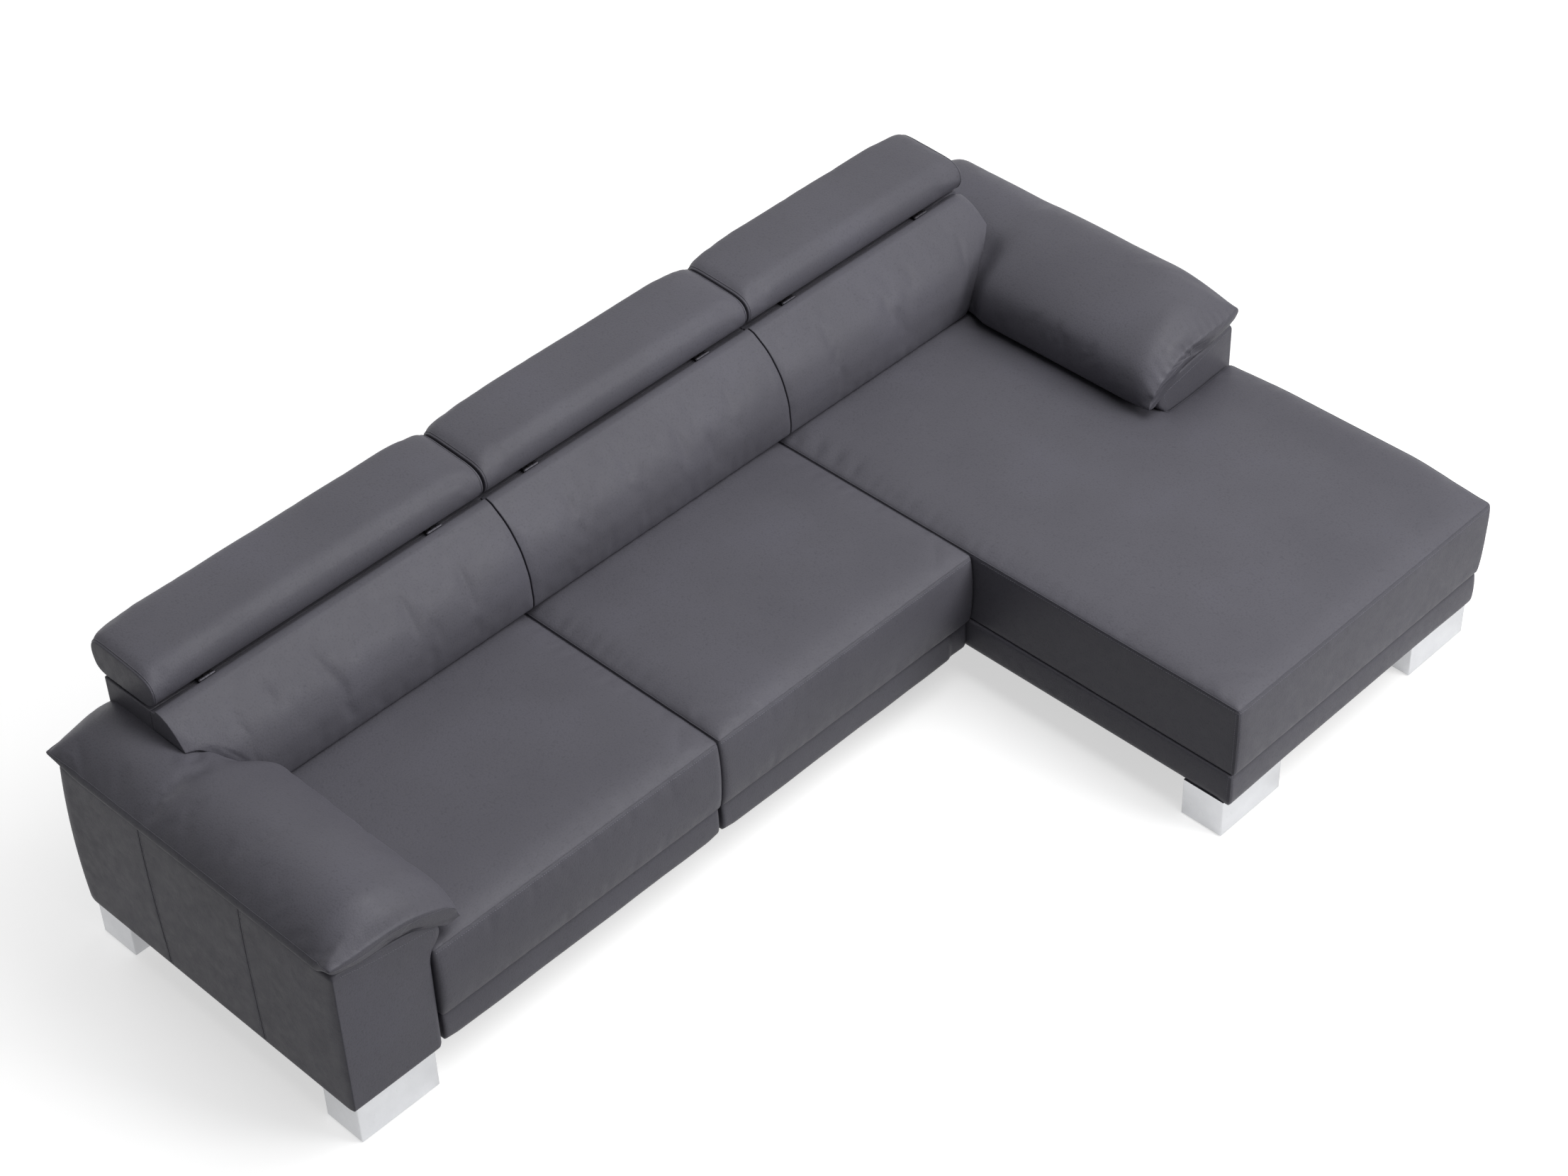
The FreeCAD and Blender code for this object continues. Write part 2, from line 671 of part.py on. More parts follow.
def make_glide_pads(seat):
    pads = []
    ends = (("front", "board_front + 2 * board"), ("rear", "seat_rear - board - pad_length"))
    bottom = "base_top + channel_wall + fit_gap"
    for side in ("left", "right"):
        middle = slide_place(seat, side)
        across = (f"({middle}) - bar_half", f"({middle}) + bar_half")
        for end, start in ends:
            along = (start, f"{start} + pad_length")
            name = f"seat_{seat}_pad_{side}_{end}"
            pads.append(block(name, across, along, (bottom, f"{bottom} + pad_height")))
    finish(group(f"seat_{seat}_glide_pads", pads), f"seat_{seat}_glide_pads")


def base_cross_places():
    # Middles of the seat base's boards that run under the channels, front to rear.
    span = "(base_rear - base_front)"
    return [
        "base_front + board / 2",
        f"base_front + {span} / 3",
        f"base_front + {span} * 2 / 3",
        "base_rear - board / 2",
    ]


def make_slide_channels():
    channels = []
    screws = []
    holes = []
    outer = "channel_width / 2"
    inner = "(channel_width / 2 - channel_wall)"
    slot = "channel_slot / 2"
    top = "base_top + channel_height"
    under_lip = "base_top + channel_height - channel_wall"
    web = "base_top + channel_wall"
    profile = [
        (f"- {outer}", "base_top"),
        (f"+ {outer}", "base_top"),
        (f"+ {outer}", top),
        (f"+ {slot}", top),
        (f"+ {slot}", under_lip),
        (f"+ {inner}", under_lip),
        (f"+ {inner}", web),
        (f"- {inner}", web),
        (f"- {inner}", under_lip),
        (f"- {slot}", under_lip),
        (f"- {slot}", top),
        (f"- {outer}", top),
    ]
    for seat in (1, 2):
        for side in ("left", "right"):
            middle = slide_place(seat, side)
            points = [(f"({middle}) {across}", up) for across, up in profile]
            name = f"channel_{seat}_{side}"
            length = "base_rear - base_front"
            channels.append(outline_body(name, "XZ_Plane", points, "-base_rear", length))
            for row, along in enumerate(base_cross_places()):
                label = f"{name}_screw_{row}"
                tip = (middle, along, "base_top - screw_length")
                seat_at = (middle, along, "base_top")
                shank = rod(label + "_shank", "screw_radius", "screw_length", tip)
                high = "channel_wall - fit_gap"
                head = cone(label + "_head", "screw_radius", "screw_head_radius", high, seat_at)
                screws.append(fused(label, [shank, head]))
                slim = "screw_radius + bolt_gap"
                wide = "screw_head_radius + bolt_gap"
                holes.append(cone(label + "_hole", slim, wide, "channel_wall", seat_at))
    bars = group("channel_bars", channels)
    finish(cut("slide_channels", bars, group("channel_holes", holes)), "slide_channels")
    finish(group("channel_screws", screws), "channel_screws")


# Fixed frames


def make_seat_base():
    level = ("foot_height", "base_top")
    inside = ("base_front + board", "base_rear - board")
    uprights = (
        ("left", "base_left", "base_left + board"),
        ("middle", "seat_split - board / 2", "seat_split + board / 2"),
        ("right", "base_right - board", "base_right"),
    )
    boards = [
        block("seat_base_front", ("base_left", "base_right"), ("base_front", inside[0]), level),
        block("seat_base_rear", ("base_left", "base_right"), (inside[1], "base_rear"), level),
    ]
    for label, low, high in uprights:
        boards.append(block(f"seat_base_{label}", (low, high), inside, level))
    for (label, low, high), (after, next_low, next_high) in zip(uprights, uprights[1:]):
        for row, middle in enumerate(base_cross_places()[1:3]):
            along = (f"{middle} - board / 2", f"{middle} + board / 2")
            boards.append(block(f"seat_base_cross_{label}_{row}", (high, next_low), along, level))
    finish(group("seat_base_frame", boards), "seat_base_frame")


chaise_foot_places = {
    "left": ("chaise_band_left + foot_length / 2", "chaise_foot_middle"),
    "right": ("chaise_band_right - foot_length / 2", "chaise_foot_middle"),
}


def bolt_hole(name, at):
    start = (at[0], at[1], "foot_height - overrun")
    return rod(name, "bolt_radius + bolt_gap", "block_height + 2 * overrun", start)


def make_chaise_base():
    level = ("foot_height", "chaise_top")
    front, left, right = "chaise_frame_front", "chaise_frame_left", "chaise_frame_right"
    inner_left = f"{left} + board"
    inside = f"{front} + board"
    inner_side = ("chaise_inner_right - board", "chaise_inner_right")
    rear = ("base_rear - board", "base_rear")
    boards = [
        block("chaise_base_front", (left, right), (front, inside), level),
        block("chaise_base_left", (left, inner_left), (inside, rear[0]), level),
        block("chaise_base_right", (f"{right} - board", right), (inside, "chaise_step - board"), level),
        block("chaise_base_step", (inner_left, right), ("chaise_step - board", "chaise_step"), level),
        block("chaise_base_inner", inner_side, ("chaise_step", rear[0]), level),
        block("chaise_base_rear", (left, inner_side[1]), rear, level),
    ]
    rows = (
        ("front", front, "chaise_step", f"{right} - board"),
        ("rear", "chaise_step", "base_rear", "chaise_inner_right - board"),
    )
    for label, low, high, end in rows:
        for third in (1, 2):
            middle = f"{low} + ({high} - {low}) * {third} / 3"
            along = (f"{middle} - board / 2", f"{middle} + board / 2")
            name = f"chaise_base_{label}_cross_{third}"
            boards.append(block(name, (inner_left, end), along, level))
    for side, at in chaise_foot_places.items():
        reach = (inner_left, f"{at[0]} + block_reach")
        if side == "right":
            reach = (f"{at[0]} - block_reach", f"{right} - board")
        along = (f"{front} + board", f"{at[1]} + block_reach")
        name = f"chaise_block_{side}"
        solid = block(name + "_solid", reach, along, ("foot_height", "foot_height + block_height"))
        boards.append(cut(name, solid, bolt_hole(name + "_hole", at)))
    finish(group("chaise_base_frame", boards), "chaise_base_frame")


def across_arm(side, low, high):
    # Two distances from an arm's outer face, as low and high places across the sofa.
    if side == "left":
        return f"left_face + {low}", f"left_face + {high}"
    return f"right_face - ({high})", f"right_face - ({low})"


def arm_foot_place(side, end):
    across = across_arm(side, "arm_foot_side + foot_length / 2", "arm_foot_side + foot_length / 2")[0]
    if end == "front":
        return across, "arm_front + arm_foot_front + foot_depth / 2"
    return across, "rear_face - arm_foot_rear - foot_depth / 2"


arm_feet = {"left": ("front", "rear"), "right": ("rear",)}


def make_arm_frame(side):
    name = f"{side}_arm_frame"
    skin = "arm_padding + fit_gap"
    depth = "arm_width - arm_padding - fit_gap"
    front = "arm_front + arm_front_padding + fit_gap"
    rear = "rear_face - arm_rear_padding - fit_gap"
    level = ("foot_height", "arm_frame_height")
    outer = across_arm(side, skin, f"{skin} + thin_board")
    inner = across_arm(side, f"{depth} - thin_board", depth)
    between = across_arm(side, f"{skin} + thin_board", f"{depth} - thin_board")
    inside = (f"{front} + thin_board", f"{rear} - thin_board")
    low_level = ("foot_height", "foot_height + block_height")
    boards = [
        block(name + "_outer", outer, (front, rear), level),
        block(name + "_inner", inner, (front, rear), level),
        block(name + "_front", between, (front, inside[0]), level),
        block(name + "_rear", between, (inside[1], rear), level),
        block(name + "_lid", between, inside, ("arm_frame_height - thin_board", level[1])),
    ]
    for end in ("front", "rear"):
        along = (inside[0], f"{inside[0]} + foot_depth")
        if end == "rear":
            along = (f"{inside[1]} - foot_depth", inside[1])
        piece = block(f"{name}_{end}_block", between, along, low_level)
        if end in arm_feet[side]:
            hole = bolt_hole(f"{name}_{end}_hole", arm_foot_place(side, end))
            piece = cut(f"{name}_{end}_footing", piece, hole)
        boards.append(piece)
    finish(group(name, boards), name)


def facing(side, y):
    # Puts a distance from an arm's outer face and a height in space, at a place along the arm.
    if side == "left":
        return lambda a, b: Vector(place.left_face + a, y, b)
    return lambda a, b: Vector(place.right_face - a, y, b)


def arm_outline(inset):
    # Front view of an arm's body, from its outer face, drawn in all round.
    edge = size.arm_edge
    nick = edge * corner_share
    outer = inset
    inner = size.arm_width - inset
    bottom = size.foot_height + inset * corner_share
    top = size.arm_outer_height - inset
    tip = size.arm_width + size.arm_flare - inset
    tip_top = size.arm_inner_height + edge / 2 - inset
    tip_low = size.arm_inner_height - size.flare_tip
    under_tip = ((tip + inner) / 2 - edge, (tip_low + size.flare_start + edge) / 2)
    return [
        (outer, bottom + edge),
        (outer, top - edge),
        ((outer + nick, top - nick), (outer + edge, top)),
        (tip - 3 * edge, tip_top + edge),
        ((tip, tip_top - edge), (tip - edge / 2, tip_low)),
        (under_tip, (inner, size.flare_start)),
        (inner, bottom + edge),
        ((inner - nick, bottom + nick), (inner - edge, bottom)),
        (outer + edge, bottom),
        ((outer + nick, bottom + nick), (outer, bottom + edge)),
    ]


def arm_room(side, front, rear):
    # The space of an arm's body, with a gap, for cutting the cushions beside it.
    face = Part.Face(ring(arm_outline(-size.slide_gap), facing(side, front)))
    return face.extrude(Vector(0, rear - front, 0))


def make_arm_cover(side):
    full = arm_outline(0)
    drawn = arm_outline(size.arm_end_round)
    stations = rounded_stations(place.arm_front, place.rear_face, size.arm_end_round, 0)
    form = loft([(blend(full, drawn, weight), facing(side, y)) for y, weight in stations])
    across = sorted(number(rule) for rule in across_arm(side, "arm_padding", "arm_width - arm_padding"))
    along = (place.arm_front + size.arm_front_padding, place.rear_face - size.arm_rear_padding)
    room = solid_box(
        across, along, (size.foot_height - size.overrun, size.arm_frame_height + size.fit_gap)
    )
    finish(soft_part(f"{side}_arm_cover", form.cut(room)), f"{side}_arm_cover")


# Shares by which the parts of a pillow's outline follow its press and its draw-in
pillow_bottom_press_share = 0.06
pillow_bulge_press_share = 0.62
pillow_slope_press_share = 0.16
pillow_side_drop_share = 0.6
pillow_slope_drop_share = 0.85
pillow_edge_drop_share = 0.25
pressed_pull_share = 0.2


def arc_middle(first, second, third):
    # Centre of the arc through three points.
    arc = Part.Arc(Vector(*first, 0), Vector(*second, 0), Vector(*third, 0))
    centre = arc.toShape().Curve.Center
    return centre.x, centre.y


def pillow_outline(press, pull):
    # Front view of an arm's pillow, from the arm's outer face. press: share of the back
    # cushion's press on its side. pull: share of the draw-in at an end.
    edge = size.arm_edge
    arm = arm_outline(-size.soft_gap)
    top_outer, top_inner, roll = arm[2][1], arm[3], arm[4]
    centre = arc_middle(top_inner, *roll)
    radius = math.dist(centre, top_inner)
    diagonal = radius * math.sqrt(0.5)
    roll_side = (centre[0] + radius, centre[1])
    roll_middle = (centre[0] + diagonal, centre[1] + diagonal)
    slope = (top_outer[1] - top_inner[1]) / (top_inner[0] - top_outer[0])
    side = place.pillow_side
    pressed = size.pillow_tuck * press
    inward = size.pillow_end_pull * pull * (1 - (1 - pressed_pull_share) * press)
    drop = size.pillow_end_drop * pull
    low = size.pillow_bottom
    turn = size.pillow_inner_height
    return [
        (-edge, top_outer[1] + (top_outer[0] + edge) * slope),
        top_inner,
        (roll_middle, roll_side),
        (roll_side[0], low),
        (side - pressed * pillow_bottom_press_share - inward * pressed_pull_share, low),
        (
            (side + size.pillow_bulge - pressed * pillow_bulge_press_share - inward, (low + turn) / 2),
            (side + edge - pressed - inward, turn - drop * pillow_side_drop_share),
        ),
        (
            (
                size.pillow_slope_place - pressed * pillow_slope_press_share,
                size.pillow_slope_height - drop * pillow_slope_drop_share,
            ),
            (size.pillow_crown_place, size.pillow_crown_height - drop),
        ),
        (
            (corner_share, size.pillow_shoulder_height - drop * pillow_slope_drop_share),
            (-size.pillow_overhang, size.pillow_edge_height - drop * pillow_edge_drop_share),
        ),
    ]


# Places at which a back cushion presses a pillow, behind the front of the pillow, as shares of
# the seat's depth, and the share of the press there
press_shares = ((0.45, 0.0), (0.78, 0.0), (0.86, 0.5), (0.94, 1.0), (1.04, 1.0), (1.3, 1.0))


def make_arm_pillow(side):
    front = place.arm_front - size.pillow_front
    rear = place.rear_face + size.pillow_rear
    reach = size.pillow_end_round
    stations = [(front + reach * a, 0.0, drawn_share(a)) for a in rounding_shares]
    stations += [(place.seat_front + size.seat_depth * a, press, 0.0) for a, press in press_shares]
    stations += [(rear - reach * a, 1.0, drawn_share(a)) for a in reversed(rounding_shares)]
    form = loft([(pillow_outline(press, pull), facing(side, y)) for y, press, pull in stations])
    finish(soft_part(f"{side}_arm_pillow", form), f"{side}_arm_pillow")


def press_tool(side, front, rear):
    # The space of an arm and its pillow, with a gap, for cutting the pieces shaped round them.
    gap = size.press_gap
    over = size.overrun
    pillow = pillow_outline(1.0, 0.0)
    side_low = pillow[4]
    side_arc = pillow[5]
    crown_arc = pillow[6]
    outline = [
        (-over, -over),
        (size.arm_width + size.soft_gap, -over),
        (size.arm_width + size.soft_gap, size.flare_start - 2 * gap),
        (side_low[0] + gap, side_low[1] - gap),
        ((side_arc[0][0] + gap, side_arc[0][1]), (side_arc[1][0] + gap, side_arc[1][1] + gap)),
        ((crown_arc[0][0] + gap, crown_arc[0][1] + gap), (crown_arc[1][0], crown_arc[1][1] + gap)),
        (-over, crown_arc[1][1] + gap),
    ]
    face = Part.Face(ring(outline, facing(side, front)))
    return face.extrude(Vector(0, rear - front, 0))


def both_press_tools(front, rear):
    return [press_tool(side, front, rear) for side in ("left", "right")]


# Chaise


def make_chaise_soft_parts():
    over = size.overrun
    form = slab(
        place.chaise_left,
        place.chaise_right,
        place.front_face,
        place.seat_rear,
        size.chaise_side_round,
        size.side_lean,
    )
    beside_arm = solid_box(
        (place.chaise_inner_right, place.chaise_right + over),
        (place.chaise_step, place.seat_rear + over),
        (-over, size.arm_outer_height),
    )
    form = form.cut(beside_arm)
    form = form.cut(arm_room("right", place.chaise_step, place.seat_rear + over))
    panel_front = place.front_face + size.chaise_panel_depth
    panel_left = place.chaise_left + size.chaise_panel_depth
    panel_right = place.chaise_right - size.side_lean - size.chaise_panel_depth
    across = (place.chaise_left - over, place.chaise_right + over)
    along = (place.front_face - over, place.seat_rear + over)
    panel_level = (place.seat_bottom - over, place.panel_top)
    strips = {
        "front": (across, (along[0], panel_front), panel_level),
        "left": ((across[0], panel_left), (panel_front, along[1]), panel_level),
        "right": ((panel_right, across[1]), (panel_front, place.chaise_step), panel_level),
    }
    inner = form.cut(solid_box(across, along, (place.seat_bottom - over, size.seat_underside)))
    gap = size.soft_gap
    lid_level = (panel_level[0], place.panel_top + gap)
    inner = inner.cut(solid_box(across, (along[0], panel_front + gap), lid_level))
    inner = inner.cut(solid_box((across[0], panel_left + gap), along, lid_level))
    front_part = (along[0], place.chaise_step + over)
    inner = inner.cut(solid_box((panel_right - gap, across[1]), front_part, lid_level))
    finish(soft_part("chaise_cushion", inner), "chaise_cushion")
    for label, limits in strips.items():
        name = f"chaise_{label}_panel"
        finish(soft_part(name, form.common(solid_box(*limits))), name)


def make_chaise_band():
    # Three lengths that meet at the chaise's front corners.
    front = place.front_face + size.band_inset
    left = place.chaise_band_left
    right = place.chaise_band_right
    depth = size.chaise_panel_depth - size.band_inset
    whole = band(left, right, front, front + depth)
    level = (size.foot_height, size.band_seam_height - size.soft_gap)
    near_seat = place.seat_front - size.panel_depth
    inner_left = place.chaise_frame_left - size.fit_gap
    inner_right = place.chaise_frame_right + size.fit_gap
    side_left = solid_box((left, inner_left), (front + depth, near_seat), level)
    side_right = solid_box((inner_right, right), (front + depth, place.chaise_step), level)
    shape = Part.makeCompound([whole, side_left, side_right])
    finish(soft_part("chaise_lower_band", shape), "chaise_lower_band")


def make_chaise_springs():
    left = place.chaise_frame_left + size.spring_room
    level = place.chaise_top + size.spring_wire + size.fit_gap
    springs = []
    along = place.chaise_frame_front + size.chaise_spring_spacing / 2
    while along < place.base_rear - size.spring_width * 2:
        right = place.chaise_frame_right
        if along > place.chaise_step - size.spring_width * 2:
            right = place.chaise_inner_right
        reach = right - size.spring_room - left
        springs.append(zigzag(Vector(left, along, level), reach, Vector(1, 0, 0)))
        along += size.chaise_spring_spacing
    finish(soft_part("chaise_springs", Part.makeCompound(springs)), "chaise_springs")


# Back


def spread(low, high, count, width):
    # Evenly spaced boards between two places: low and high side of each.
    starts = [f"({low}) + (({high}) - ({low}) - {width}) * {i} / {count - 1}" for i in range(count)]
    return [(start, f"{start} + {width}") for start in starts]


# Posts behind the seats and behind the chaise
main_posts = 7
chaise_posts = 4


def make_back_frame(name, low, high, count, wing):
    # wing: low and high side of the boards that reach over the arm
    posts = spread(low, high, count, "board")
    deep = ("post_front", "post_rear")
    thin = ("back_boards", "back_boards + thin_board")
    between = ("back_boards + thin_board", "post_front")
    upper = ("back_board_top - front_board_height", "back_board_top")
    lower = ("slat_bottom", "slat_bottom + back_rail_height")
    rails = (
        ("low", ("foot_height", "foot_height + back_rail_height")),
        ("middle", ("mid_rail_height", "mid_rail_height + back_rail_height")),
        ("top", ("back_board_top - back_rail_height", "back_board_top")),
    )
    boards = []
    for i, post in enumerate(posts):
        boards.append(block(f"{name}_post_{i}", post, deep, ("foot_height", "back_board_top")))
    for i, (here, after) in enumerate(zip(posts, posts[1:])):
        for label, level in rails:
            boards.append(block(f"{name}_{label}_rail_{i}", (here[1], after[0]), deep, level))
    boards.append(block(f"{name}_front_board", (low, high), thin, upper))
    boards.append(block(f"{name}_front_slat", (low, high), thin, lower))
    for i, post in enumerate(posts):
        boards.append(block(f"{name}_upper_gusset_{i}", post, between, upper))
        boards.append(block(f"{name}_lower_gusset_{i}", post, between, lower))
    wing_level = ("back_board_top - wing_height", "back_board_top")
    wing_end = (wing[0], f"{wing[0]} + thin_board")
    if wing[0] == high:
        wing_end = (f"{wing[1]} - thin_board", wing[1])
    boards.append(block(f"{name}_wing_front", wing, thin, wing_level))
    boards.append(block(f"{name}_wing_rear", wing, deep, wing_level))
    boards.append(block(f"{name}_wing_end", wing_end, between, wing_level))
    finish(group(name, boards), name)


# Low and high side of the webbing behind the seats and behind the chaise
webbing_limits = {
    "main": ("back_low_left", "main_back_right"),
    "chaise": ("chaise_back_left", "back_low_right"),
}


def make_back_webbing():
    straps = []
    along = ("back_boards - fit_gap - strap_thickness", "back_boards - fit_gap")
    level = ("slat_bottom + board / 2", "back_board_top - board / 2")
    for label, (low, high) in webbing_limits.items():
        room = number(f"{high} - {low}")
        count = int(room / size.strap_spacing)
        for i in range(count):
            middle = f"{low} + ({high} - {low}) * ({i} + 1 / 2) / {count}"
            across = (f"{middle} - strap_width / 2", f"{middle} + strap_width / 2")
            straps.append(block(f"strap_{label}_{i}", across, along, level))
    finish(group("back_webbing", straps), "back_webbing")


def make_back_cover(name, low, high, side):
    # side: low and high side of the wall over the arm
    rear = ("rear_face - cover_thickness", "rear_face")
    top = ("back_top_height - cover_top_thickness", "back_top_height")
    wall = ("back_top_height - cover_side_height", "back_top_height")
    shell = fused(
        name + "_shell",
        [
            block(name + "_rear", (low, high), rear, ("foot_height", "back_top_height")),
            block(name + "_top", (low, high), ("cushion_rear", "rear_face"), top),
            block(name + "_side", side, ("cushion_rear", "rear_face"), wall),
        ],
    )
    arm_side = "left" if side[0] == low else "right"
    tool = doc.addObject("Part::Feature", name + "_arm_room")
    tool.Shape = press_tool(arm_side, place.back_foot, place.rear_face + size.overrun)
    finish(cut(name, shell, tool), name)


def back_outline(front, knee_drop):
    # Side view of a back cushion.
    knee = (front + size.back_knee_lean, size.back_knee_height - knee_drop)
    top = (front + size.back_lean, size.back_cushion_top)
    bottom = size.pillow_bottom
    bulge = size.back_shoulder_bulge
    return [
        (front, bottom),
        ((front + size.back_knee_lean / 2 - size.back_bulge, (bottom + knee[1]) / 2), knee),
        (((knee[0] + top[0] - bulge) / 2, (knee[1] + top[1] + bulge) / 2), top),
        (place.cushion_rear, size.back_cushion_top),
        (place.cushion_rear, bottom),
    ]


def hinge_places():
    # Middle of each hinge, two to a headrest.
    return {
        headrest: (f"{low} + hinge_inset", f"{high} - hinge_inset")
        for headrest, (low, high) in headrest_limits.items()
    }


headrest_limits = {
    1: ("back_left", "back_split_1 - headrest_gap / 2"),
    2: ("back_split_1 + headrest_gap / 2", "back_split_2 - headrest_gap / 2"),
    3: ("back_split_2 + headrest_gap / 2", "back_right"),
}

back_limits = {
    1: ("back_left", "back_split_1 - back_gap / 2"),
    2: ("back_split_1 + back_gap / 2", "main_back_right"),
    3: ("chaise_back_left", "back_right"),
}


def make_back_cushion(index):
    low, high = (number(rule) for rule in back_limits[index])
    full = back_outline(place.back_foot, 0)
    drawn = back_outline(place.back_foot + size.back_side_round, size.back_side_round)
    drawn[2] = (drawn[2][0], full[2][1])
    stations = rounded_stations(low, high, size.back_side_round, size.back_swell)
    form = loft(
        [(blend(full, drawn, weight), lambda a, b, x=x: Vector(x, a, b)) for x, weight in stations]
    )
    for tool in both_press_tools(place.back_foot - size.seat_depth / 2, place.rear_face):
        form = form.cut(tool)
    room = size.leaf_width / 2 + size.notch_room
    for rule in hinge_places()[index]:
        middle = number(rule)
        notch = solid_box(
            (middle - room, middle + room),
            (
                place.hinge_place - size.knuckle_radius - size.notch_room,
                place.cushion_rear + size.overrun,
            ),
            (
                size.hinge_height - size.knuckle_radius - size.notch_room / 2,
                size.back_cushion_top + size.overrun,
            ),
        )
        form = form.cut(notch)
    finish(soft_part(f"back_cushion_{index}", form), f"back_cushion_{index}")


# Headrests


def headrest_outline(drawn_in):
    # Side view of a headrest: flat underside, rounded front and rear, crowned top.
    front = place.headrest_front + drawn_in
    rear = place.headrest_rear - drawn_in
    bottom = size.headrest_bottom
    top = bottom + size.headrest_thickness - drawn_in
    edge = top - size.headrest_crown
    middle = (bottom + top) / 2
    return [
        (front + size.headrest_toe, bottom),
        ((front, middle - size.headrest_crown * 2), (front + size.headrest_roll, edge)),
        (((front + rear) / 2, top), (rear - size.headrest_heel, edge)),
        ((rear, middle), (rear - size.headrest_heel, bottom)),
    ]


def board_limits(headrest):
    low, high = headrest_limits[headrest]
    across = (f"{low} + headrest_board_inset", f"{high} - headrest_board_inset")
    along = ("headrest_front + headrest_board_inset", "headrest_rear - headrest_board_inset")
    return across, along, ("headrest_bottom", "headrest_bottom + headrest_board")


def make_headrest(headrest):
    low, high = (number(rule) for rule in headrest_limits[headrest])
    full = headrest_outline(0)
    drawn = headrest_outline(size.headrest_round)
    stations = rounded_stations(low, high, size.headrest_round, size.headrest_swell)
    form = loft(
        [(blend(full, drawn, weight), lambda a, b, x=x: Vector(x, a, b)) for x, weight in stations]
    )
    across, along, up = board_limits(headrest)
    gap = size.bolt_gap
    room = solid_box(
        (number(across[0]) - gap, number(across[1]) + gap),
        (number(along[0]) - gap, number(along[1]) + gap),
        (size.headrest_bottom - size.overrun, number(up[1]) + gap),
    )
    finish(soft_part(f"headrest_{headrest}", form.cut(room)), f"headrest_{headrest}")
    finish(block(f"headrest_{headrest}_board", across, along, up), f"headrest_{headrest}_board")


def bore(name, middle):
    start = f"{middle} - leaf_width"
    at = (start, "hinge_place", "hinge_height")
    return rod(name, "pin_radius + pivot_gap", "2 * leaf_width", at, along_x)


def fixed_leaf(name, middle, plate, reach):
    # The leaf on top of the back, with a barrel at each side of the middle one.
    level = ("back_top_height + fit_gap", "screw_seat")
    inner = "knuckle_length / 2 + knuckle_gap"
    sides = (
        ("near", plate[0], f"{middle} - ({inner})"),
        ("far", f"{middle} + {inner}", plate[1]),
    )
    length = f"leaf_width / 2 - ({inner})"
    parts = [block(name + "_fixed_plate", plate, reach, level)]
    for label, low, high in sides:
        at = (low, "hinge_place", "hinge_height")
        link = ("hinge_place", reach[0])
        parts.append(block(f"{name}_{label}_link", (low, high), link, level))
        parts.append(rod(f"{name}_{label}_barrel", "knuckle_radius", length, at, along_x))
    whole = fused(name + "_fixed_solid", parts)
    return cut(name + "_fixed_leaf", whole, bore(name + "_fixed_bore", middle))


def moving_leaf(name, middle, plate, reach):
    # The leaf under the headrest's board, with the middle barrel.
    level = ("headrest_bottom - fit_gap - leaf_thickness", "headrest_bottom - fit_gap")
    span = (f"{middle} - knuckle_length / 2", f"{middle} + knuckle_length / 2")
    at = (span[0], "hinge_place", "hinge_height")
    parts = [
        block(name + "_moving_plate", plate, reach, level),
        block(name + "_moving_link", span, ("hinge_place", reach[0]), level),
        rod(name + "_moving_barrel", "knuckle_radius", "knuckle_length", at, along_x),
    ]
    whole = fused(name + "_moving_solid", parts)
    return cut(name + "_moving_leaf", whole, bore(name + "_moving_bore", middle))


def hinge_pin(name, plate):
    # A pin with a head at each end, just outside the barrels.
    start = f"{plate[0]} - fit_gap"
    ends = (("near", f"{start} - pin_head"), ("far", f"{plate[1]} + fit_gap"))
    at = (start, "hinge_place", "hinge_height")
    parts = [rod(name + "_shaft", "pin_radius", "leaf_width + 2 * fit_gap", at, along_x)]
    for label, low in ends:
        at = (low, "hinge_place", "hinge_height")
        parts.append(rod(f"{name}_{label}_head", "pin_radius + pin_head / 2", "pin_head", at, along_x))
    return fused(name, parts)


def leaf_screws(name, middle):
    # Two screws that hold a fixed leaf, side by side.
    screws = []
    along = "hinge_place + hinge_screw_place"
    for label, sign in (("near", "-"), ("far", "+")):
        across = f"{middle} {sign} screw_side"
        tip = (across, along, "screw_seat - leaf_thickness - screw_length")
        length = "screw_length + leaf_thickness"
        shank = rod(f"{name}_{label}_shank", "screw_radius", length, tip)
        at = (across, along, "screw_seat")
        head = rod(f"{name}_{label}_head", "screw_head_radius", "screw_head_height", at)
        screws.append(fused(f"{name}_{label}_screw", [shank, head]))
    return screws


def make_hinges():
    fixed_leaves = []
    pins = []
    screws = []
    clear = "hinge_place + knuckle_radius + 2 * knuckle_gap"
    reach = (clear, "hinge_place + leaf_length")
    for headrest, middles in hinge_places().items():
        moving_leaves = []
        for hand, rule in zip(("left", "right"), middles):
            name = f"hinge_{headrest}_{hand}"
            middle = f"({rule})"
            plate = (f"{middle} - leaf_width / 2", f"{middle} + leaf_width / 2")
            fixed_leaves.append(fixed_leaf(name, middle, plate, reach))
            moving_leaves.append(moving_leaf(name, middle, plate, reach))
            pins.append(hinge_pin(name + "_pin", plate))
            screws += leaf_screws(name, middle)
        leaves = f"headrest_{headrest}_leaves"
        finish(group(leaves, moving_leaves), leaves)
    finish(group("hinge_fixed_leaves", fixed_leaves), "hinge_fixed_leaves")
    finish(group("hinge_pins", pins), "hinge_pins")
    finish(group("hinge_screws", screws), "hinge_screws")


# Feet, support legs and fasteners


def all_foot_places():
    spots = [arm_foot_place(side, end) for side in ("left", "right") for end in arm_feet[side]]
    return spots + list(chaise_foot_places.values())


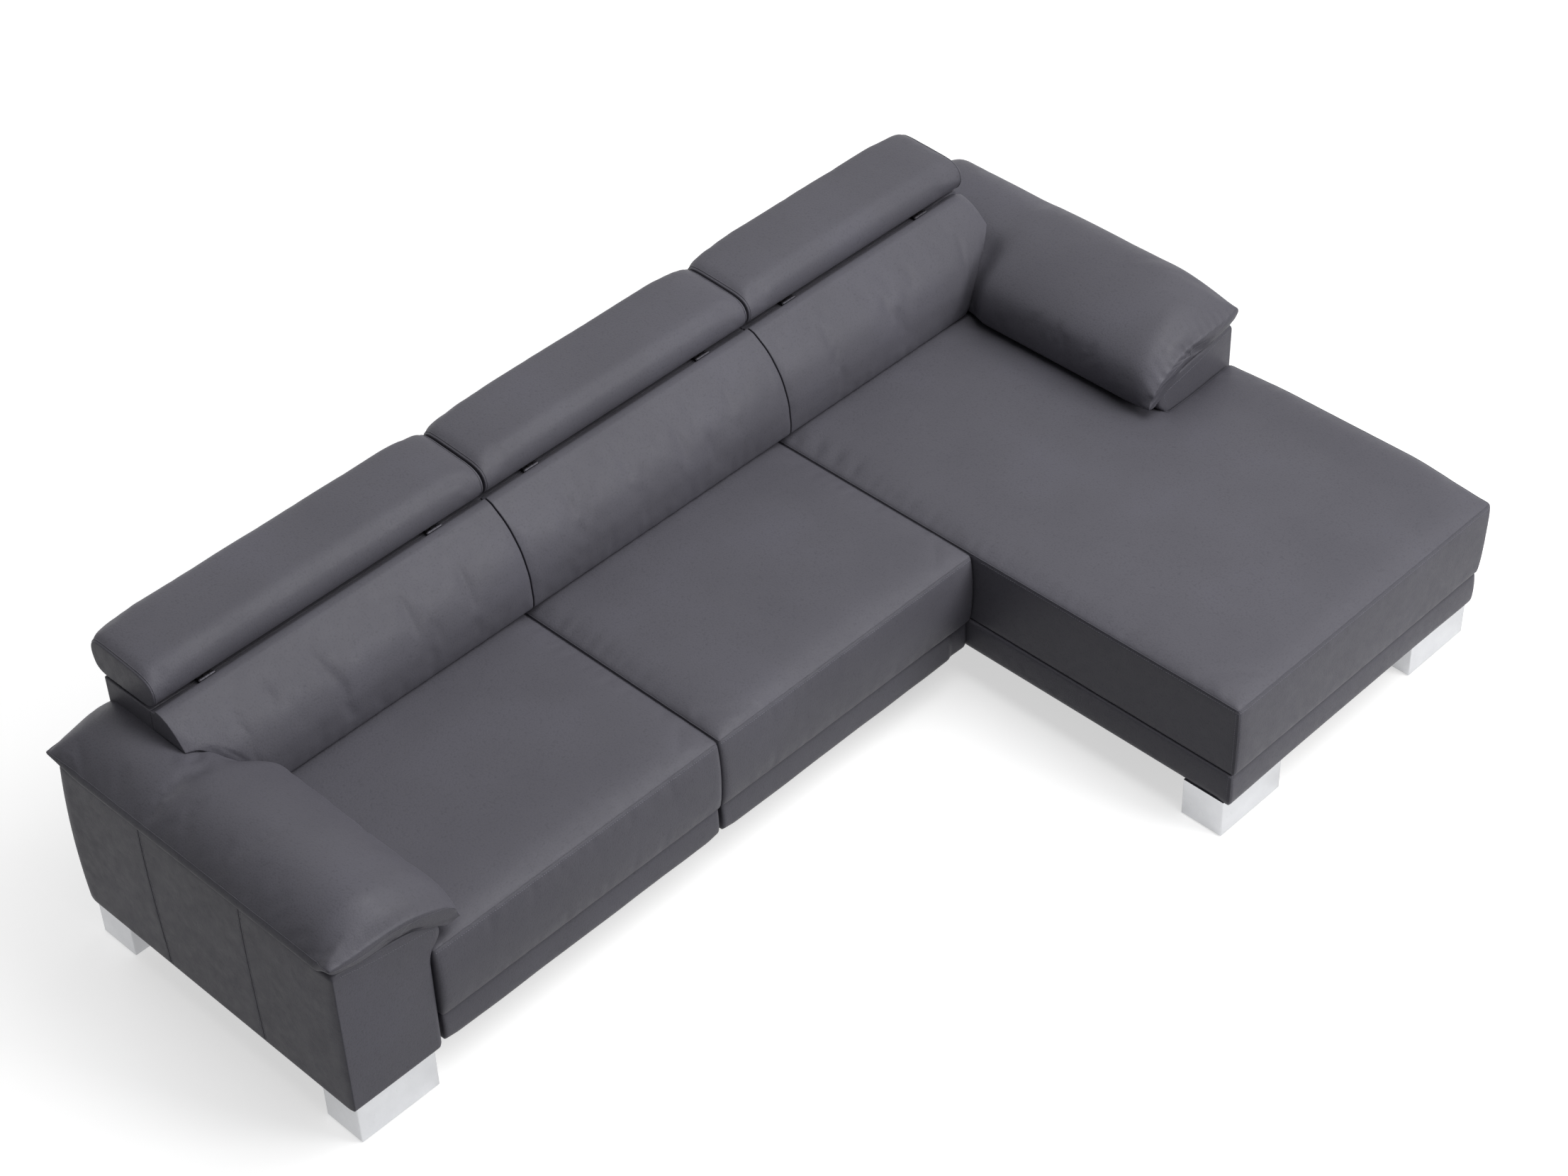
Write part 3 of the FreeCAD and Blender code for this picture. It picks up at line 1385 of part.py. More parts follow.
def make_foot(name, at):
    # A metal box, open below, with a bolt hole in its top plate.
    body = doc.addObject("PartDesign::Body", name)

    def sides(inset):
        return rectangle(
            f"{at[0]} - foot_length / 2 + {inset}",
            f"{at[0]} + foot_length / 2 - {inset}",
            f"{at[1]} - foot_depth / 2 + {inset}",
            f"{at[1]} + foot_depth / 2 - {inset}",
        )

    outside = body.newObject("PartDesign::Pad", name + "_outside")
    outside.Profile = bound_outline(body, name + "_outline", "XY_Plane", sides("0"), "foot_lift")
    outside.setExpression("Length", formula("foot_height - foot_lift"))
    body.Tip = outside
    doc.recompute()
    upright = [
        f"Edge{i}"
        for i, edge in enumerate(outside.Shape.Edges, start=1)
        if abs(edge.tangentAt(edge.FirstParameter).z) > corner_share
    ]
    edges = body.newObject("PartDesign::Fillet", name + "_edges")
    edges.Base = (outside, upright)
    edges.setExpression("Radius", formula("foot_edge"))
    body.Tip = edges
    inside = body.newObject("PartDesign::Pocket", name + "_inside")
    walls = sides("foot_wall")
    inside.Profile = bound_outline(body, name + "_walls", "XY_Plane", walls, "foot_lift")
    inside.Reversed = True
    inside.setExpression("Length", formula("foot_height - foot_top - foot_lift"))
    body.Tip = inside
    doc.recompute()
    return cut(name + "_drilled", body, bolt_hole(name + "_hole", at))


def make_feet():
    feet = []
    glides = []
    bolts = []
    for i, at in enumerate(all_foot_places()):
        feet.append(make_foot(f"foot_{i}", at))
        room = "foot_wall + fit_gap"
        glides.append(
            block(
                f"glide_{i}",
                (f"{at[0]} - foot_length / 2 + {room}", f"{at[0]} + foot_length / 2 - ({room})"),
                (f"{at[1]} - foot_depth / 2 + {room}", f"{at[1]} + foot_depth / 2 - ({room})"),
                ("0", "glide_height"),
            )
        )
        under_plate = "foot_height - foot_top"
        head_at = (at[0], at[1], f"{under_plate} - bolt_head_height")
        head = rod(f"bolt_{i}_head", "bolt_head_radius", "bolt_head_height", head_at)
        shank_at = (at[0], at[1], under_plate)
        shank = rod(f"bolt_{i}_shank", "bolt_radius", "foot_top + bolt_length", shank_at)
        bolts.append(fused(f"bolt_{i}", [head, shank]))
    finish(group("feet", feet), "feet")
    finish(group("foot_glides", glides), "foot_glides")
    finish(group("foot_bolts", bolts), "foot_bolts")


leg_columns = ("seat_split", "base_right - board / 2", "chaise_frame_left + board / 2")
leg_rows = ("base_front + leg_front_place", "base_rear - leg_rear_place")


def make_support_legs():
    legs = []
    for i, across in enumerate(leg_columns):
        for j, along in enumerate(leg_rows):
            legs.append(rod(f"leg_{i}_{j}", "leg_radius", "foot_height", (across, along, "0")))
    finish(group("support_legs", legs), "support_legs")


def leg_rooms(name, columns):
    rooms = []
    for i, across in enumerate(columns):
        for j, along in enumerate(leg_rows):
            at = (across, along, "foot_height - overrun")
            rooms.append(rod(f"{name}_room_{i}_{j}", "leg_radius + bolt_gap", "2 * overrun", at))
    return group(name + "_rooms", rooms)


def make_dust_covers():
    main = block(
        "main_dust_sheet",
        ("base_left + cloth_inset", "base_right - cloth_inset"),
        ("base_front + cloth_inset", "base_rear - cloth_inset"),
        ("foot_height - cloth", "foot_height"),
    )
    front = "chaise_foot_middle + foot_depth / 2 + cloth_inset"
    left = "chaise_frame_left + cloth_inset"
    inner = "chaise_inner_right - cloth_inset"
    outer = "chaise_frame_right - cloth_inset"
    points = [
        (left, front),
        (outer, front),
        (outer, "chaise_step - cloth_inset"),
        (inner, "chaise_step - cloth_inset"),
        (inner, "base_rear - cloth_inset"),
        (left, "base_rear - cloth_inset"),
    ]
    chaise = outline_body("chaise_dust_sheet", "XY_Plane", points, "foot_height - cloth", "cloth")
    sheets = [
        cut("main_dust_cover", main, leg_rooms("main_leg", leg_columns[:2])),
        cut("chaise_dust_cover", chaise, leg_rooms("chaise_leg", leg_columns[2:])),
    ]
    finish(group("dust_covers", sheets), "dust_covers")


# Joining plates along the seam of seat base and chaise base, as shares of the base's depth
plate_shares = ("0.15", "0.5", "0.85")


def make_joining_plates():
    plates = []
    for i, share in enumerate(plate_shares):
        front = f"base_front + (base_rear - base_front) * {share}"
        rear = f"{front} + plate_length"
        web = f"{front} + plate_thickness"
        left, right = "base_right", "chaise_frame_left"
        points = [
            (left, front),
            (right, front),
            (right, rear),
            (f"{right} - plate_thickness", rear),
            (f"{right} - plate_thickness", web),
            (f"{left} + plate_thickness", web),
            (f"{left} + plate_thickness", rear),
            (left, rear),
        ]
        name = f"joining_plate_{i}"
        bottom = "foot_height + cloth_inset"
        plates.append(outline_body(name, "XY_Plane", points, bottom, "plate_height"))
    finish(group("joining_plates", plates), "joining_plates")


for arm in ("left", "right"):
    make_arm_frame(arm)
    make_arm_cover(arm)
    make_arm_pillow(arm)
make_seat_base()
make_slide_channels()
for seat_number in (1, 2):
    make_seat_frame(seat_number)
    make_slide_bars(seat_number)
    make_glide_pads(seat_number)
    make_seat_springs(seat_number)
    make_seat_cushion(seat_number)
    make_seat_band(seat_number)
make_chaise_base()
make_chaise_springs()
make_chaise_soft_parts()
make_chaise_band()
left_wing = ("back_left + cover_top_thickness + fit_gap", "back_low_left")
right_wing = ("back_low_right", "back_right - cover_top_thickness - fit_gap")
make_back_frame("main_back_frame", "back_low_left", "main_back_right", main_posts, left_wing)
make_back_frame("chaise_back_frame", "chaise_back_left", "back_low_right", chaise_posts, right_wing)
make_back_webbing()
left_wall = ("back_left", "back_left + cover_top_thickness")
right_wall = ("back_right - cover_top_thickness", "back_right")
make_back_cover("main_back_cover", "back_left", "main_back_right", left_wall)
make_back_cover("chaise_back_cover", "chaise_back_left", "back_right", right_wall)
for back_number in (1, 2, 3):
    make_back_cushion(back_number)
    make_headrest(back_number)
make_hinges()
make_feet()
make_support_legs()
make_joining_plates()
make_dust_covers()

doc.recompute()

# Every object must be in order before anything is written

faults = []
for item in doc.Objects:
    if {"Invalid", "Error"} & set(item.State):
        faults.append(f"{item.Name}: {item.State}")
for piece in finished:
    if piece.Shape.isNull() or not piece.Shape.isValid() or not piece.Shape.Solids:
        faults.append(f"{piece.Label}: bad shape")
if faults:
    raise RuntimeError("; ".join(faults))

os.makedirs("parts", exist_ok=True)
for piece in finished:
    piece.Shape.exportStep(f"parts/{piece.Label}.step")
    box = piece.Shape.optimalBoundingBox()
    limits = (box.XMin, box.XMax, box.YMin, box.YMax, box.ZMin, box.ZMax)
    print(piece.Label, len(piece.Shape.Solids), [round(value, 1) for value in limits])
print("parts written:", len(finished))
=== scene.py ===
import math

import bmesh
import bpy
import numpy as np
from mathutils import Matrix, Vector, noise
from mathutils.bvhtree import BVHTree


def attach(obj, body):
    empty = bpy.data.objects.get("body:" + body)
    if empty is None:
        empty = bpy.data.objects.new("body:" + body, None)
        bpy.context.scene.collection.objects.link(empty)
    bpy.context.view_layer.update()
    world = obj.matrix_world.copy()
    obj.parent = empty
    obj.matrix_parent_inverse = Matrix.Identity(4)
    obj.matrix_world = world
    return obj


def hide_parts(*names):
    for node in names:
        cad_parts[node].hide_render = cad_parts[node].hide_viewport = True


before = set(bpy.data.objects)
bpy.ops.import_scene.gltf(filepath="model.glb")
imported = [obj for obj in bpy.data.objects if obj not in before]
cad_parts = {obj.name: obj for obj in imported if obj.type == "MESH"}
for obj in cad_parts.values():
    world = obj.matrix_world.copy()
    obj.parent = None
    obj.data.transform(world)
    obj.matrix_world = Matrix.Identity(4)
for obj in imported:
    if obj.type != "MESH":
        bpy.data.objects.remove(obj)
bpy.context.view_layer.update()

# every length in the dictionaries of sizes is in millimetres, in the frame of the CAD model:
# x to the right, y to the back, z up; the stage and the lamps are in metres
mm = 0.001
print("frame loaded")


def colour(hexText):
    # an sRGB hex value as the linear colour that Blender wants
    parts = [int(hexText[i:i + 2], 16) / 255 for i in (1, 3, 5)]
    linear = [c / 12.92 if c <= 0.04045 else ((c + 0.055) / 1.055) ** 2.4 for c in parts]
    return (*linear, 1.0)


def addNode(tree, kind, links=None, **settings):
    # one node with its settings; links gives an input a value or another node's output
    node = tree.nodes.new(kind)
    for key, value in settings.items():
        setattr(node, key, value)
    for key, value in (links or {}).items():
        if isinstance(value, bpy.types.NodeSocket):
            tree.links.new(value, node.inputs[key])
        else:
            node.inputs[key].default_value = value
    return node


def blankMaterial(name):
    # a material with its empty tree, and the place on the object for its patterns
    material = bpy.data.materials.new(name)
    material.use_nodes = True
    tree = material.node_tree
    tree.nodes.clear()
    return material, tree, addNode(tree, "ShaderNodeTexCoord").outputs["Object"]


def perMetre(size):
    # how many times a pattern of this size in millimetres repeats in a metre
    return 1000.0 / size


def finishShader(tree, links):
    shader = addNode(tree, "ShaderNodeBsdfPrincipled", links)
    addNode(tree, "ShaderNodeOutputMaterial", {"Surface": shader.outputs[0]})


# corrected-grain cattle hide, drum dyed and finished with a satin polyurethane coat: an even
# dark blue-grey with a pebble grain, paler where it is pulled over an edge, and a soft wide gloss
leatherLook = {
    # the valley colour is painted shade: the hollows of the pebble grain are darkened towards it
    "dark": "#55545b", "middle": "#58575e", "pale": "#5b5a62", "valleyShade": "#47464c",
    "pebble": 4.0,      # the real pebbles are about 1.5 mm; drawn coarser so that they show
    "pore": 1.6, "drift": 260, "crease": 26, "roughness": 0.46, "ior": 1.46, "level": 0.2,
}


def makeLeather(name, look):
    material, tree, place = blankMaterial(name)
    warp = addNode(tree, "ShaderNodeTexNoise", {
        "Vector": place, "Scale": perMetre(9), "Detail": 2.0})
    shifted = addNode(tree, "ShaderNodeMix", {
        "Factor": 0.0022, "A": place, "B": warp.outputs["Color"]}, data_type="VECTOR")
    shiftedPlace = shifted.outputs["Result"]
    pebble = addNode(tree, "ShaderNodeTexVoronoi", {
        "Vector": shiftedPlace, "Scale": perMetre(look["pebble"]), "Randomness": 0.9},
        feature="SMOOTH_F1")
    pore = addNode(tree, "ShaderNodeTexNoise", {
        "Vector": place, "Scale": perMetre(look["pore"]), "Detail": 2.0})
    crease = addNode(tree, "ShaderNodeTexNoise", {
        "Vector": place, "Scale": perMetre(look["crease"]), "Detail": 5.0, "Roughness": 0.6})
    drift = addNode(tree, "ShaderNodeTexNoise", {
        "Vector": place, "Scale": perMetre(look["drift"]), "Detail": 3.0})
    tone = addNode(tree, "ShaderNodeValToRGB", {"Fac": drift.outputs["Fac"]})
    tone.color_ramp.elements[0].position = 0.30
    tone.color_ramp.elements[0].color = colour(look["dark"])
    tone.color_ramp.elements[1].position = 0.72
    tone.color_ramp.elements[1].color = colour(look["pale"])
    tone.color_ramp.elements.new(0.5).color = colour(look["middle"])
    # painted shade: the hollows of the pebble grain are drawn darker, towards the valley colour
    hollow = addNode(tree, "ShaderNodeMapRange", {
        "Value": pebble.outputs["Distance"], "From Min": 0.45, "From Max": 0.85,
        "To Min": 0.0, "To Max": 0.5})
    hollowShaded = addNode(tree, "ShaderNodeMix", {
        "Factor": hollow.outputs["Result"], "A": tone.outputs["Color"],
        "B": colour(look["valleyShade"])}, data_type="RGBA")
    gloss = addNode(tree, "ShaderNodeMapRange", {
        "Value": crease.outputs["Fac"], "From Min": 0.3, "From Max": 0.7,
        "To Min": look["roughness"] - 0.05, "To Max": look["roughness"] + 0.07})
    wide = addNode(tree, "ShaderNodeBump", {
        "Height": crease.outputs["Fac"], "Strength": 0.2, "Distance": 0.001})
    grain = addNode(tree, "ShaderNodeBump", {
        "Height": pebble.outputs["Distance"], "Strength": 0.32, "Distance": 0.0011,
        "Normal": wide.outputs["Normal"]}, invert=True)
    fine = addNode(tree, "ShaderNodeBump", {
        "Height": pore.outputs["Fac"], "Strength": 0.12, "Distance": 0.0004,
        "Normal": grain.outputs["Normal"]})
    finishShader(tree, {
        "Base Color": hollowShaded.outputs["Result"], "Roughness": gloss.outputs["Result"],
        "Normal": fine.outputs["Normal"], "IOR": look["ior"],
        "Specular IOR Level": look["level"]})
    return material


# bonded polyester upholstery thread, dyed a shade above the hide: twisted, slightly shiny
threadLook = {"dark": "#5d5c65", "pale": "#7a7983", "twist": 0.9, "roughness": 0.5, "ior": 1.5}


def makeThread(name, look):
    material, tree, place = blankMaterial(name)
    twist = addNode(tree, "ShaderNodeTexWave", {
        "Vector": place, "Scale": perMetre(look["twist"]) / 6.28, "Distortion": 2.0},
        bands_direction="DIAGONAL")
    mixed = addNode(tree, "ShaderNodeMix", {
        "Factor": twist.outputs["Fac"], "A": colour(look["dark"]), "B": colour(look["pale"])},
        data_type="RGBA")
    bump = addNode(tree, "ShaderNodeBump", {
        "Height": twist.outputs["Fac"], "Strength": 0.3, "Distance": 0.0002})
    finishShader(tree, {
        "Base Color": mixed.outputs["Result"], "Roughness": look["roughness"],
        "Normal": bump.outputs["Normal"], "IOR": look["ior"]})
    return material


# cast aluminium, ground and polished by hand: bright, with fine grinding lines and a soft mirror
polishedLook = {"bright": "#cfd0d2", "dull": "#bdbec1", "line": 0.8, "drift": 60,
                "roughness": 0.2}
# zinc-plated steel: a cool grey metal, cloudy, with a satin blur
zincLook = {"bright": "#b9bcc0", "dull": "#9a9da3", "line": 3.0, "drift": 25, "roughness": 0.38}


def makeMetal(name, look, stretch):
    material, tree, place = blankMaterial(name)
    drawn = addNode(tree, "ShaderNodeMapping", {"Vector": place, "Scale": stretch})
    lines = addNode(tree, "ShaderNodeTexNoise", {
        "Vector": drawn.outputs["Vector"], "Scale": perMetre(look["line"]), "Detail": 3.0})
    cloud = addNode(tree, "ShaderNodeTexNoise", {
        "Vector": place, "Scale": perMetre(look["drift"]), "Detail": 4.0})
    tone = addNode(tree, "ShaderNodeMix", {
        "Factor": cloud.outputs["Fac"], "A": colour(look["bright"]),
        "B": colour(look["dull"])}, data_type="RGBA")
    blur = addNode(tree, "ShaderNodeMapRange", {
        "Value": lines.outputs["Fac"], "From Min": 0.3, "From Max": 0.7,
        "To Min": look["roughness"] - 0.05, "To Max": look["roughness"] + 0.08})
    bump = addNode(tree, "ShaderNodeBump", {
        "Height": lines.outputs["Fac"], "Strength": 0.06, "Distance": 0.0002})
    finishShader(tree, {
        "Base Color": tone.outputs["Result"], "Metallic": 1.0,
        "Roughness": blur.outputs["Result"], "Normal": bump.outputs["Normal"]})
    return material


# phosphated steel of the ratchet hinges: bead-blasted and oiled, a dull dark grey
phosphateLook = {"bright": "#48474c", "dull": "#3e3d42", "line": 2.0, "drift": 18,
                 "roughness": 0.5}

# sawn and planed beech rails: pale brown, with growth rings drawn out along the length
woodLook = {"early": "#c9a77c", "late": "#a8835a", "ring": 14, "fleck": 3.2,
            "roughness": 0.62, "ior": 1.5}


def makeWood(name, look):
    material, tree, place = blankMaterial(name)
    long = addNode(tree, "ShaderNodeMapping", {"Vector": place, "Scale": (0.12, 1.0, 1.0)})
    bend = addNode(tree, "ShaderNodeTexNoise", {
        "Vector": long.outputs["Vector"], "Scale": perMetre(look["ring"] * 6), "Detail": 2.0})
    bent = addNode(tree, "ShaderNodeMix", {
        "Factor": 0.08, "A": long.outputs["Vector"], "B": bend.outputs["Color"]},
        data_type="VECTOR")
    ring = addNode(tree, "ShaderNodeTexWave", {
        "Vector": bent.outputs["Result"], "Scale": perMetre(look["ring"]) / 6.28,
        "Distortion": 1.5, "Detail": 2.0}, wave_type="RINGS", rings_direction="X")
    fleck = addNode(tree, "ShaderNodeTexNoise", {
        "Vector": long.outputs["Vector"], "Scale": perMetre(look["fleck"]), "Detail": 3.0})
    both = addNode(tree, "ShaderNodeMath", {
        0: ring.outputs["Fac"], 1: fleck.outputs["Fac"]}, operation="MULTIPLY")
    tone = addNode(tree, "ShaderNodeMix", {
        "Factor": both.outputs["Value"], "A": colour(look["early"]),
        "B": colour(look["late"])}, data_type="RGBA")
    bump = addNode(tree, "ShaderNodeBump", {
        "Height": fleck.outputs["Fac"], "Strength": 0.2, "Distance": 0.0004})
    finishShader(tree, {
        "Base Color": tone.outputs["Result"], "Roughness": look["roughness"],
        "Normal": bump.outputs["Normal"], "IOR": look["ior"]})
    return material


# moulded black nylon with a fine spark-eroded texture
nylonLook = {"dark": "#18181a", "pale": "#242427", "grit": 1.2, "roughness": 0.48, "ior": 1.53}


def makeNylon(name, look):
    material, tree, place = blankMaterial(name)
    grit = addNode(tree, "ShaderNodeTexNoise", {
        "Vector": place, "Scale": perMetre(look["grit"]), "Detail": 2.0})
    tone = addNode(tree, "ShaderNodeMix", {
        "Factor": grit.outputs["Fac"], "A": colour(look["dark"]), "B": colour(look["pale"])},
        data_type="RGBA")
    bump = addNode(tree, "ShaderNodeBump", {
        "Height": grit.outputs["Fac"], "Strength": 0.25, "Distance": 0.0002})
    finishShader(tree, {
        "Base Color": tone.outputs["Result"], "Roughness": look["roughness"],
        "Normal": bump.outputs["Normal"], "IOR": look["ior"]})
    return material


# spun-bonded polypropylene lining: black, thin and fuzzy, with a point-bonded lattice
liningLook = {"dark": "#141416", "pale": "#26262a", "lattice": 2.4, "roughness": 0.9,
              "ior": 1.49}


def makeLining(name, look):
    material, tree, place = blankMaterial(name)
    lattice = addNode(tree, "ShaderNodeTexVoronoi", {
        "Vector": place, "Scale": perMetre(look["lattice"]), "Randomness": 0.25})
    tone = addNode(tree, "ShaderNodeMix", {
        "Factor": lattice.outputs["Distance"], "A": colour(look["dark"]),
        "B": colour(look["pale"])}, data_type="RGBA")
    bump = addNode(tree, "ShaderNodeBump", {
        "Height": lattice.outputs["Distance"], "Strength": 0.5, "Distance": 0.0004})
    finishShader(tree, {
        "Base Color": tone.outputs["Result"], "Roughness": look["roughness"],
        "Normal": bump.outputs["Normal"], "IOR": look["ior"],
        "Sheen Weight": 0.3, "Sheen Roughness": 0.6})
    return material


leather = makeLeather("dyedCattleHide", leatherLook)
thread = makeThread("bondedPolyesterThread", threadLook)
polished = makeMetal("polishedCastAluminium", polishedLook, (1.0, 1.0, 0.06))
zinc = makeMetal("zincPlatedSteel", zincLook, (0.2, 1.0, 1.0))
phosphate = makeMetal("phosphatedSteel", phosphateLook, (1.0, 1.0, 1.0))
beech = makeWood("planedBeech", woodLook)
nylon = makeNylon("mouldedNylon", nylonLook)
lining = makeLining("spunbondLining", liningLook)
slotFinish = {"leather": leather, "wood": beech, "steel": zinc, "plastic": nylon,
              "cloth": lining, "foot_metal": polished}
hingeNodes = ["hinge_fixed_leaves", "hinge_pins", "hinge_screws"]
hingeNodes += [f"headrest_{n}_leaves" for n in (1, 2, 3)]
for name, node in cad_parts.items():
    for place in node.material_slots:
        finish = slotFinish[place.material.name.split(".")[0]]
        place.material = phosphate if name in hingeNodes else finish
print("materials made")


def newMesh(name, points, faces, material=None):
    # points in millimetres become an object at the origin, smooth, with its faces turned out
    mesh = bpy.data.meshes.new(name)
    mesh.from_pydata((np.asarray(points, float) * mm).tolist(), [], faces)
    shell = bmesh.new()
    shell.from_mesh(mesh)
    bmesh.ops.recalc_face_normals(shell, faces=shell.faces)
    for face in shell.faces:
        face.smooth = True
    shell.to_mesh(mesh)
    shell.free()
    obj = bpy.data.objects.new(name, mesh)
    bpy.context.scene.collection.objects.link(obj)
    if material:
        mesh.materials.append(material)
    return obj


def evenLines(stops, cell):
    # grid lines through the given stops, about one cell apart
    lines = [stops[0]]
    for start, end in zip(stops, stops[1:]):
        count = max(1, round((end - start) / cell))
        lines += list(np.linspace(start, end, count + 1)[1:])
    return np.array(lines, float)


def blockShell(xs, ys, zs, keep=None):
    # the outer faces of a block of cells; keep(x, y) says which columns of cells are there
    nx, ny, nz = len(xs) - 1, len(ys) - 1, len(zs) - 1
    there = {(i, j) for i in range(nx) for j in range(ny)
             if keep is None or keep((xs[i] + xs[i + 1]) / 2, (ys[j] + ys[j + 1]) / 2)}
    index, points, faces = {}, [], []

    def corner(i, j, k):
        if (i, j, k) not in index:
            index[i, j, k] = len(points)
            points.append((xs[i], ys[j], zs[k]))
        return index[i, j, k]

    for i, j in sorted(there):
        faces.append([corner(i, j, nz), corner(i + 1, j, nz), corner(i + 1, j + 1, nz),
                      corner(i, j + 1, nz)])
        faces.append([corner(i, j, 0), corner(i, j + 1, 0), corner(i + 1, j + 1, 0),
                      corner(i + 1, j, 0)])
        sides = [((i - 1, j), (i, j + 1), (i, j)), ((i + 1, j), (i + 1, j), (i + 1, j + 1)),
                 ((i, j - 1), (i, j), (i + 1, j)), ((i, j + 1), (i + 1, j + 1), (i, j + 1))]
        for beside, a, b in sides:
            if beside not in there:
                for k in range(nz):
                    faces.append([corner(*a, k), corner(*b, k), corner(*b, k + 1),
                                  corner(*a, k + 1)])
    return np.array(points), faces, np.array(list(index))


seamStep = 9        # between the points of a seam's path


def lineAt(line, u):
    # the second value at u of a line given by its points
    return np.interp(u, *np.array(line, float).T)


def smoothRun(points, step=seamStep, count=None):
    # even points along a smooth line through the given ones
    p = np.array(points, float)
    if len(p) == 2:
        dense = np.linspace(p[0], p[1], 40)
    else:
        wide = np.vstack([2 * p[0] - p[1], p, 2 * p[-1] - p[-2]])
        dense = []
        for p0, p1, p2, p3 in zip(wide, wide[1:], wide[2:], wide[3:]):
            a, b, c = (max(np.linalg.norm(v), 1e-6) ** 0.5 for v in (p1 - p0, p2 - p1, p3 - p2))
            m1 = b * ((p1 - p0) / a - (p2 - p0) / (a + b) + (p2 - p1) / b)
            m2 = b * ((p2 - p1) / b - (p3 - p1) / (b + c) + (p3 - p2) / c)
            t = np.linspace(0, 1, 24, endpoint=False)[:, None]
            dense.append((2 * t**3 - 3 * t**2 + 1) * p1 + (t**3 - 2 * t**2 + t) * m1
                         + (3 * t**2 - 2 * t**3) * p2 + (t**3 - t**2) * m2)
        dense = np.vstack(dense + [p[-1:]])
    along = np.concatenate([[0], np.cumsum(np.linalg.norm(np.diff(dense, axis=0), axis=1))])
    if count is None:
        count = max(2, round(along[-1] / step) + 1)
    even = np.linspace(0, along[-1], count)
    return np.stack([np.interp(even, along, dense[:, k]) for k in range(dense.shape[1])], 1)


def straightRuns(corners):
    # the same along straight lines from corner to corner
    return np.vstack([smoothRun(pair) for pair in zip(corners, corners[1:])])


def loopOfRuns(runs, steps, counts):
    # a closed outline made of smooth runs that meet at creases; counts fixes their points
    pieces = [smoothRun(*each) for each in zip(runs, steps, counts or [None] * len(runs))]
    return np.vstack([piece[:-1] for piece in pieces]), [len(piece) for piece in pieces]


def insetLoop(loop, depth):
    # a loop in its own plane moved inwards by depth
    before, after = np.roll(loop, 1, 0), np.roll(loop, -1, 0)
    tangent = after - before
    tangent /= np.maximum(np.linalg.norm(tangent, axis=1, keepdims=True), 1e-9)
    area = np.sum(loop[:, 0] * after[:, 1] - after[:, 0] * loop[:, 1])
    normal = np.stack([-tangent[:, 1], tangent[:, 0]], 1) * (1 if area > 0 else -1)
    return loop + normal * depth


def closeEnd(loop, sizes):
    # the loops that shut an end: a rounded rim, then a domed face; gives (loop, advance) pairs
    steps, rim = [], sizes["rim"]
    for angle in (30, 60, 85):
        a = math.radians(angle)
        steps.append((insetLoop(loop, rim * (1 - math.cos(a))), rim * math.sin(a)))
    last, advance = steps[-1]
    centre = last.mean(0)
    narrow = min(np.ptp(last[:, 0]), np.ptp(last[:, 1])) / 2
    count = max(3, round(narrow / sizes["cell"]))
    for f in np.linspace(1, 0, count + 1)[1:-1]:
        steps.append((centre + (last - centre) * f, advance + sizes["dome"] * (1 - f * f)))
    return steps


def ringShell(rings):
    # closed loops one after another, with a fan of faces at each end
    count = len(rings[0])
    ends = [rings[0].mean(0), rings[-1].mean(0)]
    points = np.vstack(list(rings) + ends)
    faces = []
    for r in range(len(rings) - 1):
        for i in range(count):
            j = (i + 1) % count
            faces.append([r * count + i, r * count + j, (r + 1) * count + j,
                          (r + 1) * count + i])
    first, last = len(points) - 2, len(points) - 1
    top = (len(rings) - 1) * count
    for i in range(count):
        j = (i + 1) % count
        faces.append([first, j, i])
        faces.append([last, top + i, top + j])
    return points, faces


def sweptBody(section, start, end, sizes, lay):
    # loops of section(t) from start to end, both ends shut; lay(loop, t) puts a loop in place
    rim, dome = sizes["rim"], sizes["dome"]
    places = evenLines([start + rim + dome, end - rim - dome], sizes["cell"])
    first, counts = section(places[0], None)
    loops = [(first, places[0])] + [(section(t, counts)[0], t) for t in places[1:]]
    rings = [lay(a, places[0] - d) for a, d in reversed(closeEnd(first, sizes))]
    rings += [lay(a, t) for a, t in loops]
    rings += [lay(a, places[-1] + d) for a, d in closeEnd(loops[-1][0], sizes)]
    return ringShell(rings)


def ramp(distance, width):
    # 0 at an edge, rising in a round shoulder to 1 at the given width from it
    t = np.clip(np.asarray(distance, float) / width, 0, 1)
    return 1 - (1 - t) ** 2


def shoulder(distance, width):
    # like ramp, but it leaves the edge steeply, as filling pushed up against a seam does
    t = np.clip(np.asarray(distance, float) / width, 0, 1)
    return np.sqrt(np.maximum(0, 1 - (1 - t) ** 2))


def blendStep(value, low, high):
    t = np.clip((np.asarray(value, float) - low) / (high - low), 0, 1)
    return t * t * (3 - 2 * t)


def sag(points, faces, height, size, seed, hold=None):
    # slow uneven swells, as hand-filled leather has; hold is 0 where the surface stays
    mesh = newMesh("swell", points, faces)
    normals = np.array([v.normal[:] for v in mesh.data.vertices])
    bpy.data.objects.remove(mesh)
    drift = np.array([noise.noise(Vector(p / size) + Vector((seed, 0.37 * seed, 1.9 * seed)))
                      for p in points])
    amount = height * drift * (1 if hold is None else hold)
    return points + normals * amount[:, None]


clothLook = {"frames": 20, "pressure": 4.0, "grow": -0.012, "mass": 0.35, "tension": 12.0,
             "bending": 0.4, "quality": 4}


